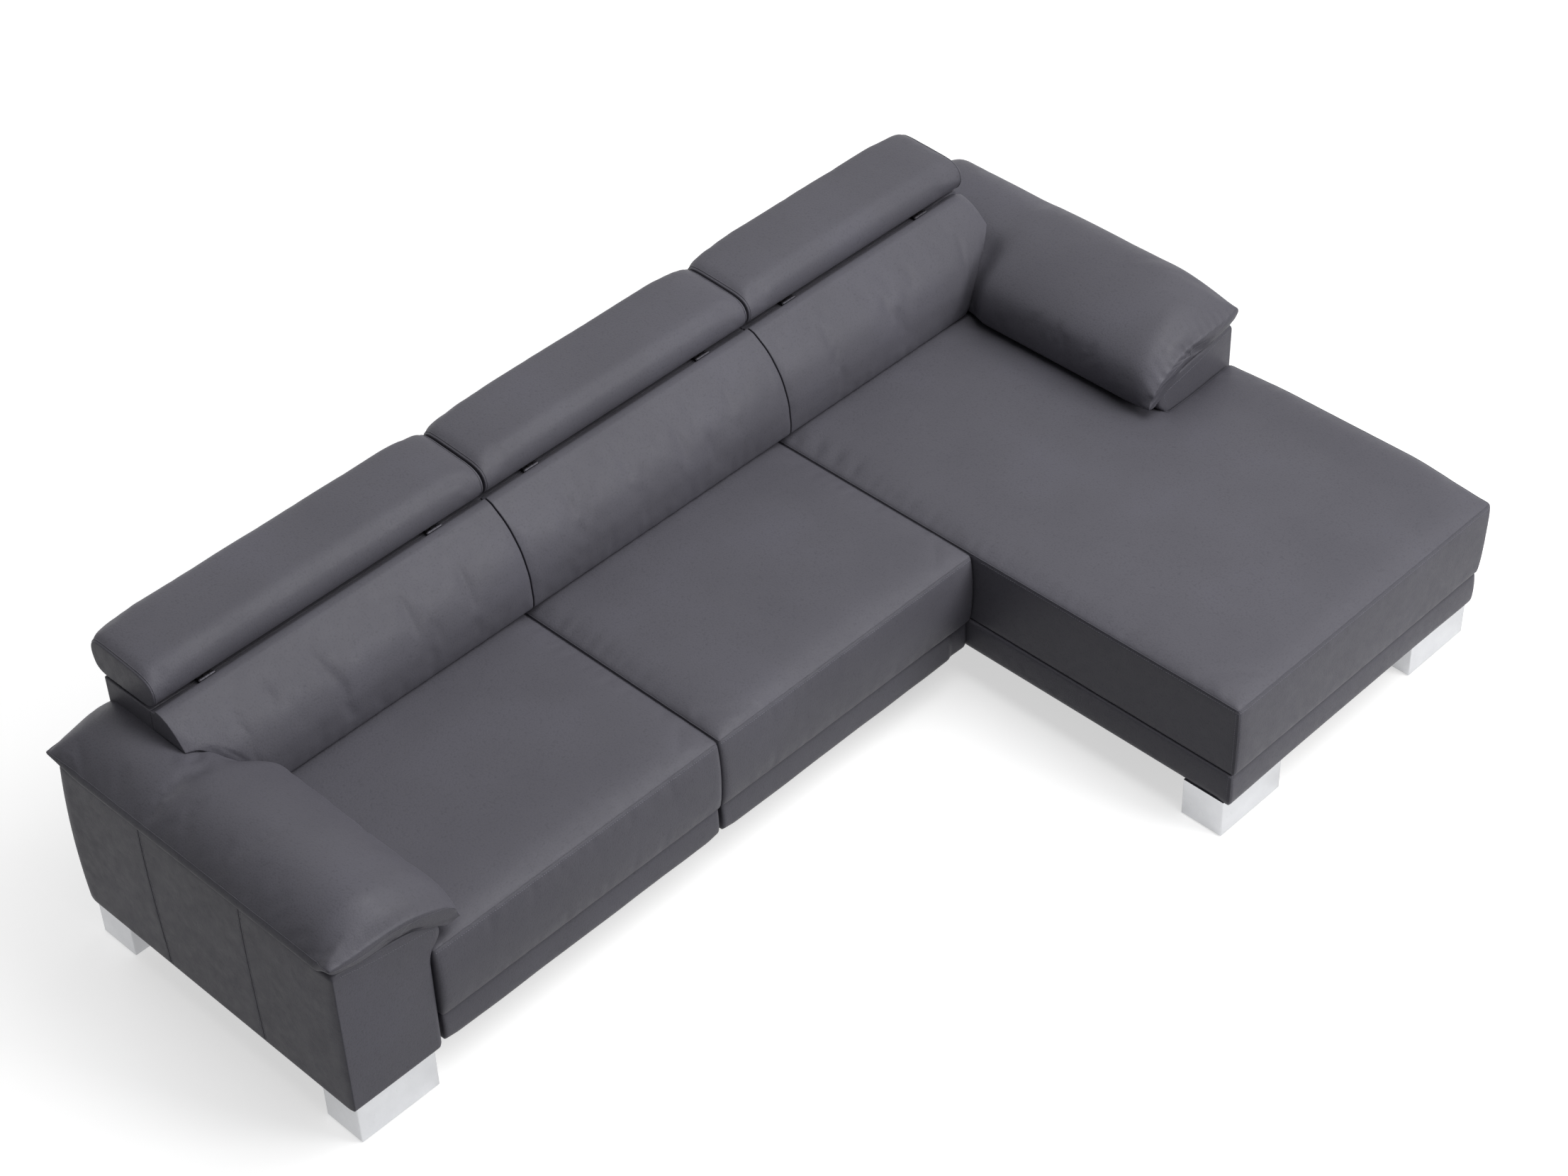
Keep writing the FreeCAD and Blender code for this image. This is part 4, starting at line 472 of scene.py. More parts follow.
def stuffed(points, faces, held, reach):
    # the cover is blown up like a bag for a few frames, with its seams held, and no point goes
    # further than its reach in millimetres
    bag = newMesh("bag", points, faces)
    group = bag.vertex_groups.new(name="held")
    group.add([int(i) for i in np.nonzero(held)[0]], 1.0, "REPLACE")
    cloth = bag.modifiers.new("cover", "CLOTH")
    settings = cloth.settings
    settings.quality = clothLook["quality"]
    settings.mass = clothLook["mass"]
    settings.tension_stiffness = clothLook["tension"]
    settings.compression_stiffness = clothLook["tension"]
    settings.bending_stiffness = clothLook["bending"]
    settings.vertex_group_mass = "held"
    settings.use_pressure = True
    settings.uniform_pressure_force = clothLook["pressure"]
    settings.shrink_min = clothLook["grow"]
    settings.effector_weights.gravity = 0.0
    cloth.point_cache.frame_start = 1
    cloth.point_cache.frame_end = clothLook["frames"]
    for number in range(1, clothLook["frames"] + 1):
        bpy.context.scene.frame_set(number)
    swollen = bag.evaluated_get(bpy.context.evaluated_depsgraph_get()).to_mesh()
    moved = np.array([v.co[:] for v in swollen.vertices]) / mm
    bpy.context.scene.frame_set(1)
    bpy.data.objects.remove(bag)
    travel = moved - points
    far = np.linalg.norm(travel, axis=1)
    reach = np.broadcast_to(np.asarray(reach, float), far.shape)
    share = np.where(held, 0.0, reach / np.sqrt(reach**2 + far**2 + 1e-9))
    print(f"  cover filled: {len(points)} points, mean travel {np.mean(far * share):.1f} mm")
    return points + travel * share[:, None]


def settled(obj):
    # the object's modifiers are worked out and removed, and it keeps the finished mesh
    graph = bpy.context.evaluated_depsgraph_get()
    mesh = bpy.data.meshes.new_from_object(obj.evaluated_get(graph))
    obj.modifiers.clear()
    obj.data = mesh
    return obj


def softPiece(name, points, faces, body, nodes):
    # a finished leather piece: smoothed once, riding on its body in place of its CAD nodes
    obj = newMesh(name, points, faces, leather)
    smooth = obj.modifiers.new("smooth", "SUBSURF")
    smooth.levels = smooth.render_levels = 1
    settled(obj)
    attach(obj, body)
    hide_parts(*nodes)
    print(f"{name}: {len(obj.data.polygons)} faces")
    return obj


surfaces = {}


def onSurface(obj, path, lift):
    # the path laid on the piece's own surface, raised by lift
    if obj.name not in surfaces:
        shell = bmesh.new()
        shell.from_mesh(obj.data)
        surfaces[obj.name] = BVHTree.FromBMesh(shell)
        shell.free()
    laid = []
    for point in np.asarray(path, float):
        spot, normal, _, _ = surfaces[obj.name].find_nearest(Vector(point * mm))
        laid.append(np.array((spot + normal * lift * mm)[:]) / mm)
    return np.array(laid)


# seams and stitches are gathered as paths, and Geometry Nodes make them at the end
paths = {}      # (body, kind) -> list of paths in millimetres
stitchLift = 0.1


def sew(obj, body, kind, path, lift):
    # one more row of this kind along the path, laid on the surface of a piece
    paths.setdefault((body, kind), []).append(onSurface(obj, path, lift))


def sewSeam(obj, body, path, lift, shifts):
    # a seam, and a row of stitches at each shift from it
    sew(obj, body, "seam", path, lift)
    for shift in shifts:
        sew(obj, body, "stitch", path + np.array(shift), stitchLift)


def geometryTree(name, inputs):
    tree = bpy.data.node_groups.new(name, "GeometryNodeTree")
    tree.interface.new_socket("Geometry", in_out="INPUT", socket_type="NodeSocketGeometry")
    tree.interface.new_socket("Geometry", in_out="OUTPUT", socket_type="NodeSocketGeometry")
    for label, value in inputs.items():
        kind = "NodeSocketMaterial" if label == "Finish" else "NodeSocketFloat"
        socket = tree.interface.new_socket(label, in_out="INPUT", socket_type=kind)
        if kind == "NodeSocketFloat":
            socket.default_value = value
    return tree, addNode(tree, "NodeGroupInput"), addNode(tree, "NodeGroupOutput")


def cordTree():
    # a round cord along each path
    tree, given, result = geometryTree("sewnCord", {"Radius": 0.0015, "Step": 0.008,
                                                    "Finish": None})
    even = addNode(tree, "GeometryNodeResampleCurve", {
        "Curve": given.outputs["Geometry"], "Length": given.outputs["Step"]}, mode="LENGTH")
    ring = addNode(tree, "GeometryNodeCurvePrimitiveCircle", {
        "Resolution": 6, "Radius": given.outputs["Radius"]})
    tube = addNode(tree, "GeometryNodeCurveToMesh", {
        "Curve": even.outputs["Curve"], "Profile Curve": ring.outputs["Curve"],
        "Fill Caps": True})
    smooth = addNode(tree, "GeometryNodeSetShadeSmooth", {"Geometry": tube.outputs["Mesh"]})
    real = addNode(tree, "GeometryNodeRealizeInstances", {
        "Geometry": smooth.outputs["Geometry"]})
    dressed = addNode(tree, "GeometryNodeSetMaterial", {
        "Geometry": real.outputs["Geometry"], "Material": given.outputs["Finish"]})
    tree.links.new(dressed.outputs["Geometry"], result.inputs["Geometry"])
    return tree


def stitchTree():
    # one small twisted stitch after another along each path
    tree, given, result = geometryTree("stitchRow", {"Pitch": 0.006, "Length": 0.004,
                                                     "Thickness": 0.001, "Finish": None})
    spots = addNode(tree, "GeometryNodeCurveToPoints", {
        "Curve": given.outputs["Geometry"], "Length": given.outputs["Pitch"]}, mode="LENGTH")
    turn = addNode(tree, "FunctionNodeAlignRotationToVector", {
        "Vector": spots.outputs["Tangent"]}, axis="X")
    bead = addNode(tree, "GeometryNodeMeshUVSphere", {
        "Segments": 6, "Rings": 4, "Radius": 0.5})
    size = addNode(tree, "ShaderNodeCombineXYZ", {
        "X": given.outputs["Length"], "Y": given.outputs["Thickness"],
        "Z": given.outputs["Thickness"]})
    row = addNode(tree, "GeometryNodeInstanceOnPoints", {
        "Points": spots.outputs["Points"], "Instance": bead.outputs["Mesh"],
        "Rotation": turn.outputs["Rotation"], "Scale": size.outputs["Vector"]})
    real = addNode(tree, "GeometryNodeRealizeInstances", {
        "Geometry": row.outputs["Instances"]})
    smooth = addNode(tree, "GeometryNodeSetShadeSmooth", {"Geometry": real.outputs["Geometry"]})
    dressed = addNode(tree, "GeometryNodeSetMaterial", {
        "Geometry": smooth.outputs["Geometry"], "Material": given.outputs["Finish"]})
    tree.links.new(dressed.outputs["Geometry"], result.inputs["Geometry"])
    return tree


sewnKinds = {
    "seam": {"Radius": 0.9, "Step": 7.0, "Finish": leather},
    "stitch": {"Pitch": 6.5, "Length": 4.6, "Thickness": 1.3, "Finish": thread},
}


def sewAll():
    trees = {"seam": cordTree(), "stitch": stitchTree()}
    for (body, kind), runs in sorted(paths.items()):
        curve = bpy.data.curves.new(f"{kind}_path", "CURVE")
        curve.dimensions = "3D"
        for run in runs:
            spline = curve.splines.new("POLY")
            spline.points.add(len(run) - 1)
            flat = np.ones((len(run), 4))
            flat[:, :3] = run * mm
            spline.points.foreach_set("co", flat.ravel())
        guide = bpy.data.objects.new(f"{kind}_guide", curve)
        bpy.context.scene.collection.objects.link(guide)
        row = guide.modifiers.new("row", "NODES")
        facts = sewnKinds[kind]
        row.node_group = trees[kind]
        for item in row.node_group.interface.items_tree:
            if item.in_out == "INPUT" and item.name in facts:
                value = facts[item.name]
                row[item.identifier] = value * mm if isinstance(value, float) else value
        graph = bpy.context.evaluated_depsgraph_get()
        mesh = bpy.data.meshes.new_from_object(guide.evaluated_get(graph))
        bpy.data.objects.remove(guide)
        piece = bpy.data.objects.new(f"{body}_{kind}_rows", mesh)
        bpy.context.scene.collection.objects.link(piece)
        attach(piece, body)
        print(f"{piece.name}: {len(mesh.polygons)} faces")


# arms: a leather cover on each frame, and a loose pillow on top; u runs inwards from the outer side

armSizes = {
    "outer": 1494.5, "front": -76, "back": 860, "bottom": 112.5, "cell": 14,
    "top": [(0, 541), (4, 546), (11, 549.3), (24, 549), (108, 527.5), (203, 509), (272, 490)],
    "roundPoints": 4,       # so many of them belong to the rounded outer edge
    "inner": [(112.5, 252), (126, 257), (395, 258), (410, 263), (422, 268), (441, 288),
              (458, 295), (474, 295), (484, 288), (490, 272)],      # z, u
    "faceSwell": 3.0, "edgeRound": 7.0, "edgeShare": 0.45, "sideSwell": 3.0, "sideRun": 120,
    "cornerSwell": 6.0, "cornerRun": 160, "cornerShare": 0.7,
    # the top edge of the front bulges up below the pillow
    "brow": [(24, 0), (93, 6), (144, 14), (182, 15), (232, 15), (272, 6), (290, 0)],
    "browDepth": 60, "browFrom": 440, "browRise": 50, "browBack": 300,
    "uneven": 1.0, "unevenSize": 230, "calmRun": 60,
    "panelSeams": [(225.6, 230.3), (557.9, 574.0)],     # y at the bottom and near the top
    "seamLevels": (122, 170, 500, 545), "seamLift": 0.2, "stitchShift": 6,
    "edgeDrop": 14, "edgeInner": 258, "edgeLevels": (440, 400, 300, 200, 130),
}


def armBrow(u, away):
    # how much the front's top edge is bulged up, and the pillow's underside with it
    return lineAt(armSizes["brow"], u) * (1 - ramp(away, armSizes["browDepth"]))


def armCover(name, node, side):
    sizes = armSizes
    width, crest = sizes["top"][-1]
    tall = sizes["top"][0][1] - sizes["bottom"]
    xs = evenLines([a / width for a, _ in sizes["top"][:sizes["roundPoints"]]] + [1],
                   sizes["cell"] / width)
    ys = evenLines([sizes["front"], sizes["back"]], sizes["cell"])
    zs = evenLines([0, 1], sizes["cell"] / tall)
    unit, faces, _ = blockShell(xs, ys, zs)
    s, y, t = unit.T
    z = sizes["bottom"] + t * (lineAt(sizes["top"], s * width) - sizes["bottom"])
    u = s * lineAt(sizes["inner"], sizes["bottom"] + t * (crest - sizes["bottom"]))
    middle = 4 * t * (1 - t)
    bulge = sizes["sideSwell"] * middle * ramp(y - sizes["front"], sizes["sideRun"])
    u = np.where(s == 0, u - bulge, u)
    ends = np.minimum(y - sizes["front"], sizes["back"] - y)
    atFront, atBack = y == sizes["front"], y == sizes["back"]
    swell = sizes["faceSwell"] * (4 * s * (1 - s)) * middle
    y = np.where(atFront, y - swell, np.where(atBack, y + swell, y))
    rear = sizes["cornerSwell"] * middle * (1 - ramp(sizes["back"] - y, sizes["cornerRun"]))
    y = y + rear
    u = np.where(s == 0, u - rear * sizes["cornerShare"], u)
    rise = np.clip((z - sizes["browFrom"]) / sizes["browRise"], 0, 1)
    z = z + armBrow(u, ends) * rise * (y < sizes["browBack"])
    near = 1 - np.clip(ends / sizes["cell"], 0, 1)
    pull = sizes["edgeRound"] * near * sizes["edgeShare"]
    u = np.where(s == 0, u + pull, np.where(s == 1, u - pull, u))
    z = np.where(t == 1, z - pull, np.where(t == 0, z + pull, z))
    points = np.stack([side * (sizes["outer"] - u), y, z], 1)
    hold = ramp(ends, sizes["calmRun"]) * np.where((s == 0) | (s == 1), middle, 1)
    points = sag(points, faces, sizes["uneven"], sizes["unevenSize"], 3.0 + side, hold)
    obj = softPiece(name, points, faces, "base", [node])
    shift = sizes["stitchShift"]
    for low, high in sizes["panelSeams"]:
        path = smoothRun([(side * sizes["outer"], y0, z0)
                          for y0, z0 in zip((low, low, high, high), sizes["seamLevels"])])
        sewSeam(obj, "base", path, sizes["seamLift"], [(0, -shift, 0), (0, shift, 0)])
    for y0 in (sizes["front"], sizes["back"]):
        line = [(side * (sizes["outer"] - a), y0, b - sizes["edgeDrop"])
                for a, b in sizes["top"][sizes["roundPoints"] - 1:]]
        line += [(side * (sizes["outer"] - sizes["edgeInner"]), y0, c)
                 for c in sizes["edgeLevels"]]
        sew(obj, "base", "stitch", smoothRun(line), stitchLift)


pillowSizes = {
    "outer": 1494.5, "front": -88, "back": 887, "cell": 13, "topStep": 7,
    # the section, as (u, z): underside, inner roll and crown, and where the back presses them
    "under": [(-10.5, 584), (-3, 566), (14, 555), (60, 542), (108, 530), (203, 511.5),
              (269, 492.5), (290, 488), (300, 478), (301, 462), (305, 448)],
    "roll": [(305, 448), (318, 447), (333, 460), (342, 488), (339, 525), (324, 562)],
    "rollPressed": [(305, 448), (309, 448), (311, 462), (308, 490), (296, 525), (270, 562)],
    "crown": [(324, 562), (282, 600), (205, 636), (120, 657), (48, 661), (8, 643),
              (-8, 612), (-10.5, 584)],
    "crownPressed": [(270, 562), (240, 590), (196, 630), (140, 648), (60, 656), (8, 640),
                     (-8, 612), (-10.5, 584)],
    "press": (470, 545),
    # the fold that each end closes in
    "foldFront": [(-11, 582), (10, 577), (70, 569), (158, 570), (214, 560), (270, 543),
                  (314, 523), (335, 500), (342, 470)],
    "foldBack": [(-11, 570), (10, 578), (52, 594), (112, 598), (180, 594), (240, 570),
                 (300, 530), (342, 470)],
    "shoulder": 110, "steep": 1.75, "rim": 5, "dome": 0.5,
    # the right one's front outer corner runs out flat, and it is filled a little fuller
    "taperWidth": 170, "taperLength": 210, "rightFold": 14.0, "rightLift": 9.0, "liftRun": 60,
    # the left one's outer edge hangs lower over the arm, less so at the back
    "hang": [(-10.5, 30), (-8, 41), (8, 49), (48, 34), (120, 7), (160, 0)], "lip": 556,
    "hangRun": (6, 50), "hangBack": 130, "hangWidth": 90,
    # the inner foot of the front end is tucked up
    "lipLow": 464, "tuckRun": (10, 90), "tuckInner": 300,
    "slope": 8, "slopeRun": (4, 40), "slopeCurve": 0.7,
    "gather": 27, "gatherDepth": {-1: 0.5, 1: 2.0}, "gatherAt": 8, "gatherRun": 22,
    "gatherEdge": (10, 40), "gatherShare": 0.8,
    "base": [(-12, 584), (0, 552), (272, 490), (300, 476), (400, 440)],
    "held": [(-12, 584), (0, 556), (272, 494), (300, 478), (400, 440)], "heldGap": 6,
    "uneven": 2.2, "unevenSize": 210, "calmRun": 80, "reach": 5.0,
    "seamOut": 11.5, "seamLevel": 584, "seamRun": (-78, 880, 12), "seamLift": 0.2,
}


def armPillow(name, node, side):
    sizes = pillowSizes

    def section(y, counts):
        pressed = float(blendStep(y, *sizes["press"]))
        low = [np.array(sizes[k], float) for k in ("roll", "crown")]
        soft = [np.array(sizes[k], float) for k in ("rollPressed", "crownPressed")]
        roll, crown = (a + (b - a) * pressed for a, b in zip(low, soft))
        for fold, away in (("foldFront", y - sizes["front"]), ("foldBack", sizes["back"] - y)):
            tapered = side > 0 and fold == "foldFront"
            if away < (sizes["taperLength"] if tapered else sizes["shoulder"]):
                full = 1 - (1 - float(ramp(away, sizes["shoulder"]))) ** sizes["steep"]
                flat = float(ramp(away, sizes["taperLength"])) if tapered else full
                for run in (roll, crown):
                    inner = np.clip(run[:, 0] / sizes["taperWidth"], 0, 1)
                    cap = lineAt(sizes[fold], run[:, 0])
                    cap += sizes["rightFold"] * (1 - inner) * tapered
                    lift = flat + (full - flat) * inner
                    high = run[:, 1] > cap
                    run[high, 1] = cap[high] + ((run[:, 1] - cap) * lift)[high]
        crown[0] = roll[-1]
        under = np.array(sizes["under"], float)
        under[:, 1] += armBrow(under[:, 0], y - sizes["front"])
        if side < 0:
            hang = float(blendStep(y - sizes["front"], *sizes["hangRun"]))
            atBack = float(ramp(sizes["back"] - y, sizes["hangBack"]))
            inner = np.clip(crown[:, 0] / sizes["hangWidth"], 0, 1)
            drop = lineAt(sizes["hang"], crown[:, 0]) * hang
            crown[:, 1] -= drop * (atBack + (1 - atBack) * inner)
            under[0, 1] = crown[-1, 1]
            under[1, 1] += (sizes["lip"] - under[1, 1]) * hang * atBack
        front = 1 - float(blendStep(y - sizes["front"], *sizes["tuckRun"]))
        for run in (under, roll):
            below = (run[:, 0] > sizes["tuckInner"]) & (run[:, 1] < sizes["lipLow"])
            run[below, 1] += (sizes["lipLow"] - run[below, 1]) * front
        return loopOfRuns([under, np.vstack([roll, crown[1:]])],
                          [sizes["cell"], sizes["topStep"]], counts)

    def lay(loop, y):
        return np.stack([side * (sizes["outer"] - loop[:, 0]), np.full(len(loop), y),
                         loop[:, 1]], 1)

    points, faces = sweptBody(section, sizes["front"], sizes["back"], sizes, lay)
    away = points[:, 1] - sizes["front"]
    u = sizes["outer"] - side * points[:, 0]
    base, fold = lineAt(sizes["base"], u), lineAt(sizes["foldFront"], u)
    height = np.clip((points[:, 2] - base) / np.maximum(fold - base, 8), 0, 1)
    lean = sizes["slope"] * (1 - height) ** sizes["slopeCurve"]
    points[:, 1] += lean * (1 - blendStep(away, *sizes["slopeRun"]))
    if side > 0:
        points[:, 2] += sizes["rightLift"] * ramp(points[:, 2] - base, sizes["liftRun"])
    gather = np.sin(u * 2 * math.pi / sizes["gather"]) * sizes["gatherDepth"][side]
    edge, edgeRun = sizes["gatherEdge"]
    near = np.exp(-((away - sizes["gatherAt"]) / sizes["gatherRun"]) ** 2) * ramp(u + edge, edgeRun)
    points[:, 2] += gather * near
    points[:, 1] -= np.abs(gather) * near * sizes["gatherShare"]
    top = points[:, 2] > lineAt(sizes["held"], u) + sizes["heldGap"]
    points = sag(points, faces, sizes["uneven"], sizes["unevenSize"], 7.0 + side,
                 np.where(top, ramp(away, sizes["calmRun"]), 0))
    points = stuffed(points, faces, ~top, sizes["reach"])
    obj = softPiece(name, points, faces, "base", [node])
    edge = [(side * (sizes["outer"] + sizes["seamOut"]), y, sizes["seamLevel"])
            for y in np.arange(*sizes["seamRun"])]
    front = [(side * (sizes["outer"] - a), sizes["front"] + 1, b)
             for a, b in sizes["foldFront"][1:-1]]
    back = [(side * (sizes["outer"] - a), sizes["back"] - 1, b)
            for a, b in sizes["foldBack"][1:-2]]
    path = smoothRun(list(reversed(front)) + edge + back)
    sew(obj, "base", "seam", path, sizes["seamLift"])


armCover("left_arm_leather", "left_arm_cover", -1)
armCover("right_arm_leather", "right_arm_cover", 1)
armPillow("left_arm_top_pillow", "left_arm_pillow", -1)
armPillow("right_arm_top_pillow", "right_arm_pillow", 1)
print("arms made")

# seats: a pad sewn to its front panel, and the band below it, on each sliding seat

seatSizes = {
    "cell": 14, "front": -80, "back": 765.8, "bottom": 209, "seam": 420,
    "clear": 216, "clearFrom": -45,     # the underside rises behind the front panel
    "shoulder": 120, "rise": 14.5, "crown": 4.5, "crownRun": 420, "frontSwell": 9.0,
    "sideSwell": 1.7, "uneven": 0.9, "unevenSize": 260, "calmRun": 120,
    "reach": {"top": 6.0, "front": 3.0, "side": 0.6},
    "seamEnd": 700, "seamLift": 0.5, "rowInset": 6, "rowOut": 2, "rowDrop": 9,
    "places": {1: (-1232.5, -373.5), 2: (-369.5, 491.5)},
}


def panelSwell(z, low, high):
    # how a sewn panel stands proud between its two seams
    t = np.clip((z - low) / (high - low), 0, 1)
    return 4 * t * (1 - t)


def seatPad(number):
    sizes = seatSizes
    left, right = sizes["places"][number]
    xs = evenLines([left, right], sizes["cell"])
    ys = evenLines([sizes["front"], sizes["back"]], sizes["cell"])
    zs = evenLines([sizes["bottom"], sizes["seam"]], sizes["cell"])
    points, faces, keys = blockShell(xs, ys, zs)
    x, y, z = points.T.copy()
    top = keys[:, 2] == len(zs) - 1
    low = keys[:, 2] == 0
    dx, dy = np.minimum(x - left, right - x), np.minimum(y - sizes["front"], sizes["back"] - y)
    body = shoulder(dx, sizes["shoulder"]) * shoulder(dy, sizes["shoulder"])
    crown = ramp(dx, sizes["crownRun"]) * ramp(dy, sizes["crownRun"])
    swell = panelSwell(z, sizes["bottom"], sizes["seam"])
    front = keys[:, 1] == 0
    way = np.where(x == left, -1, np.where(x == right, 1, 0))
    points[:, 1] = np.where(front, y - swell * sizes["frontSwell"], y)
    points[:, 0] += way * swell * sizes["sideSwell"]
    points[:, 2] = np.where(top, z + body * sizes["rise"] + crown * sizes["crown"], z)
    points[:, 2] = np.where(low & (y > sizes["clearFrom"]), sizes["clear"], points[:, 2])
    seam = top & ((dx < 1) | (dy < 1))
    free = top & ~seam
    calm = np.where(free, ramp(np.minimum(dx, dy), sizes["calmRun"]), 0)
    points = sag(points, faces, sizes["uneven"], sizes["unevenSize"], 11.0 * number, calm)
    held = seam | low | (keys[:, 1] == len(ys) - 1)
    reach = sizes["reach"]
    reach = np.where(free, reach["top"], np.where(front, reach["front"], reach["side"]))
    points = stuffed(points, faces, held, reach)
    name = f"seat_{number}"
    obj = softPiece(f"{name}_leather_pad", points, faces, name,
                    [f"{name}_cushion", f"{name}_front_panel"])
    level, rowY = sizes["seam"], sizes["front"] - sizes["rowOut"]
    loop = [(left, sizes["seamEnd"], level), (left, sizes["front"], level),
            (right, sizes["front"], level), (right, sizes["seamEnd"], level)]
    sew(obj, name, "seam", straightRuns(loop), sizes["seamLift"])
    row = [(left + sizes["rowInset"], rowY, level - sizes["rowDrop"]),
           (right - sizes["rowInset"], rowY, level - sizes["rowDrop"])]
    sew(obj, name, "stitch", smoothRun(row), stitchLift)


bandSizes = {
    "front": -73, "back": -37, "bottom": 112.5, "top": 208.7, "cell": 12, "swell": 3.0,
    "tuck": 6, "lift": 7.0, "liftLength": 45, "wave": 2.4, "waveLength": 95, "waveEdge": 60,
    "notch": 426, "notchHalf": 3, "notchDepth": 5,      # the joint in the band of seat 2
    "places": {1: (-1229.5, -376.5), 2: (-366.5, 488.5)},
}


def seatBand(number):
    sizes = bandSizes
    left, right = sizes["places"][number]
    notch = [sizes["notch"] - sizes["notchHalf"], sizes["notch"] + sizes["notchHalf"]]
    xs = evenLines([left, *(notch if number == 2 else []), right], sizes["cell"])
    ys = evenLines([sizes["front"], sizes["back"]], sizes["cell"])
    zs = evenLines([sizes["bottom"], sizes["top"]], sizes["cell"])
    points, faces, keys = blockShell(xs, ys, zs)
    x, y, z = points.T.copy()
    share = (z - sizes["bottom"]) / (sizes["top"] - sizes["bottom"])
    swell = panelSwell(z, sizes["bottom"], sizes["top"]) * sizes["swell"]
    near = x - left if number == 2 else np.minimum(x - left, right - x)
    wave = [noise.noise(Vector((a / sizes["waveLength"], 3.7 * number, 0))) for a in x]
    lift = sizes["lift"] * (1 - blendStep(near, 0, sizes["liftLength"]))
    wave = sizes["wave"] * np.array(wave) * ramp(near, sizes["waveEdge"])
    lift = (lift + wave) * (1 - share) ** 2
    points[:, 1] = np.where(keys[:, 1] == 0, y - swell, y)
    points[:, 1] += np.where((keys[:, 1] == 0) & (keys[:, 2] == 0), sizes["tuck"], 0)
    if number == 2:
        back = np.where(x > sizes["notch"], sizes["notchDepth"], 0)
        thick = sizes["back"] - sizes["front"]
        pushed = points[:, 1] + back * (1 - (y - sizes["front"]) / thick)
        points[:, 1] = np.minimum(pushed, sizes["back"])
    points[:, 2] = z + lift
    softPiece(f"seat_{number}_leather_band", points, faces, f"seat_{number}",
              [f"seat_{number}_lower_band"])


for number in (1, 2):
    seatPad(number)
for number in (1, 2):
    seatBand(number)
print("seats made")

# chaise: one pad that runs back beside the arm, and the band round it

chaiseSizes = {
    "cell": 14, "left": 495.5, "right": 1482, "armSide": 1232.5, "front": -888.5,
    "armFront": -80, "back": 765.8, "bottom": 209, "seam": 420, "shoulder": 125, "rise": 14.5,
    "crown": 4.5, "crownRun": 420, "swell": 3.5, "leftShare": 0.2, "lean": 16.0,
    "leanFrom": 1180, "uneven": 1.0, "unevenSize": 280, "calmRun": 120,
    # the top edge of the right side is fuller, and fullest where it meets the arm
    "edgeLift": 14.0, "edgeBulge": 8.0, "edgeRun": 260, "edgeWidth": 160, "edgeShare": 0.6,
    "edgeFade": 200,
    # the left side stays flat, because seat 2 slides past it
    "reach": {"top": 6.0, "panel": 2.0, "left": 0.4}, "leftWidth": 20,
    "seamEnd": 700, "seamLift": 0.5, "rowOut": 2, "rowDrop": 9, "rowEnds": (-110, -90),
    "postDrop": 3, "postFoot": 213, "postLean": 16, "postLift": -0.3, "stitchShift": 8,
}


def chaiseEdge(x, y):
    # how much of the right side's extra fullness a place has: none at the front corner
    sizes = chaiseSizes
    share = sizes["edgeShare"]
    along = blendStep(y, sizes["front"], sizes["front"] + sizes["edgeRun"])
    along = along * (share + (1 - share) * blendStep(sizes["armFront"] - y, 0, sizes["edgeFade"]))
    return along * blendStep(x, sizes["right"] - sizes["edgeWidth"], sizes["right"])


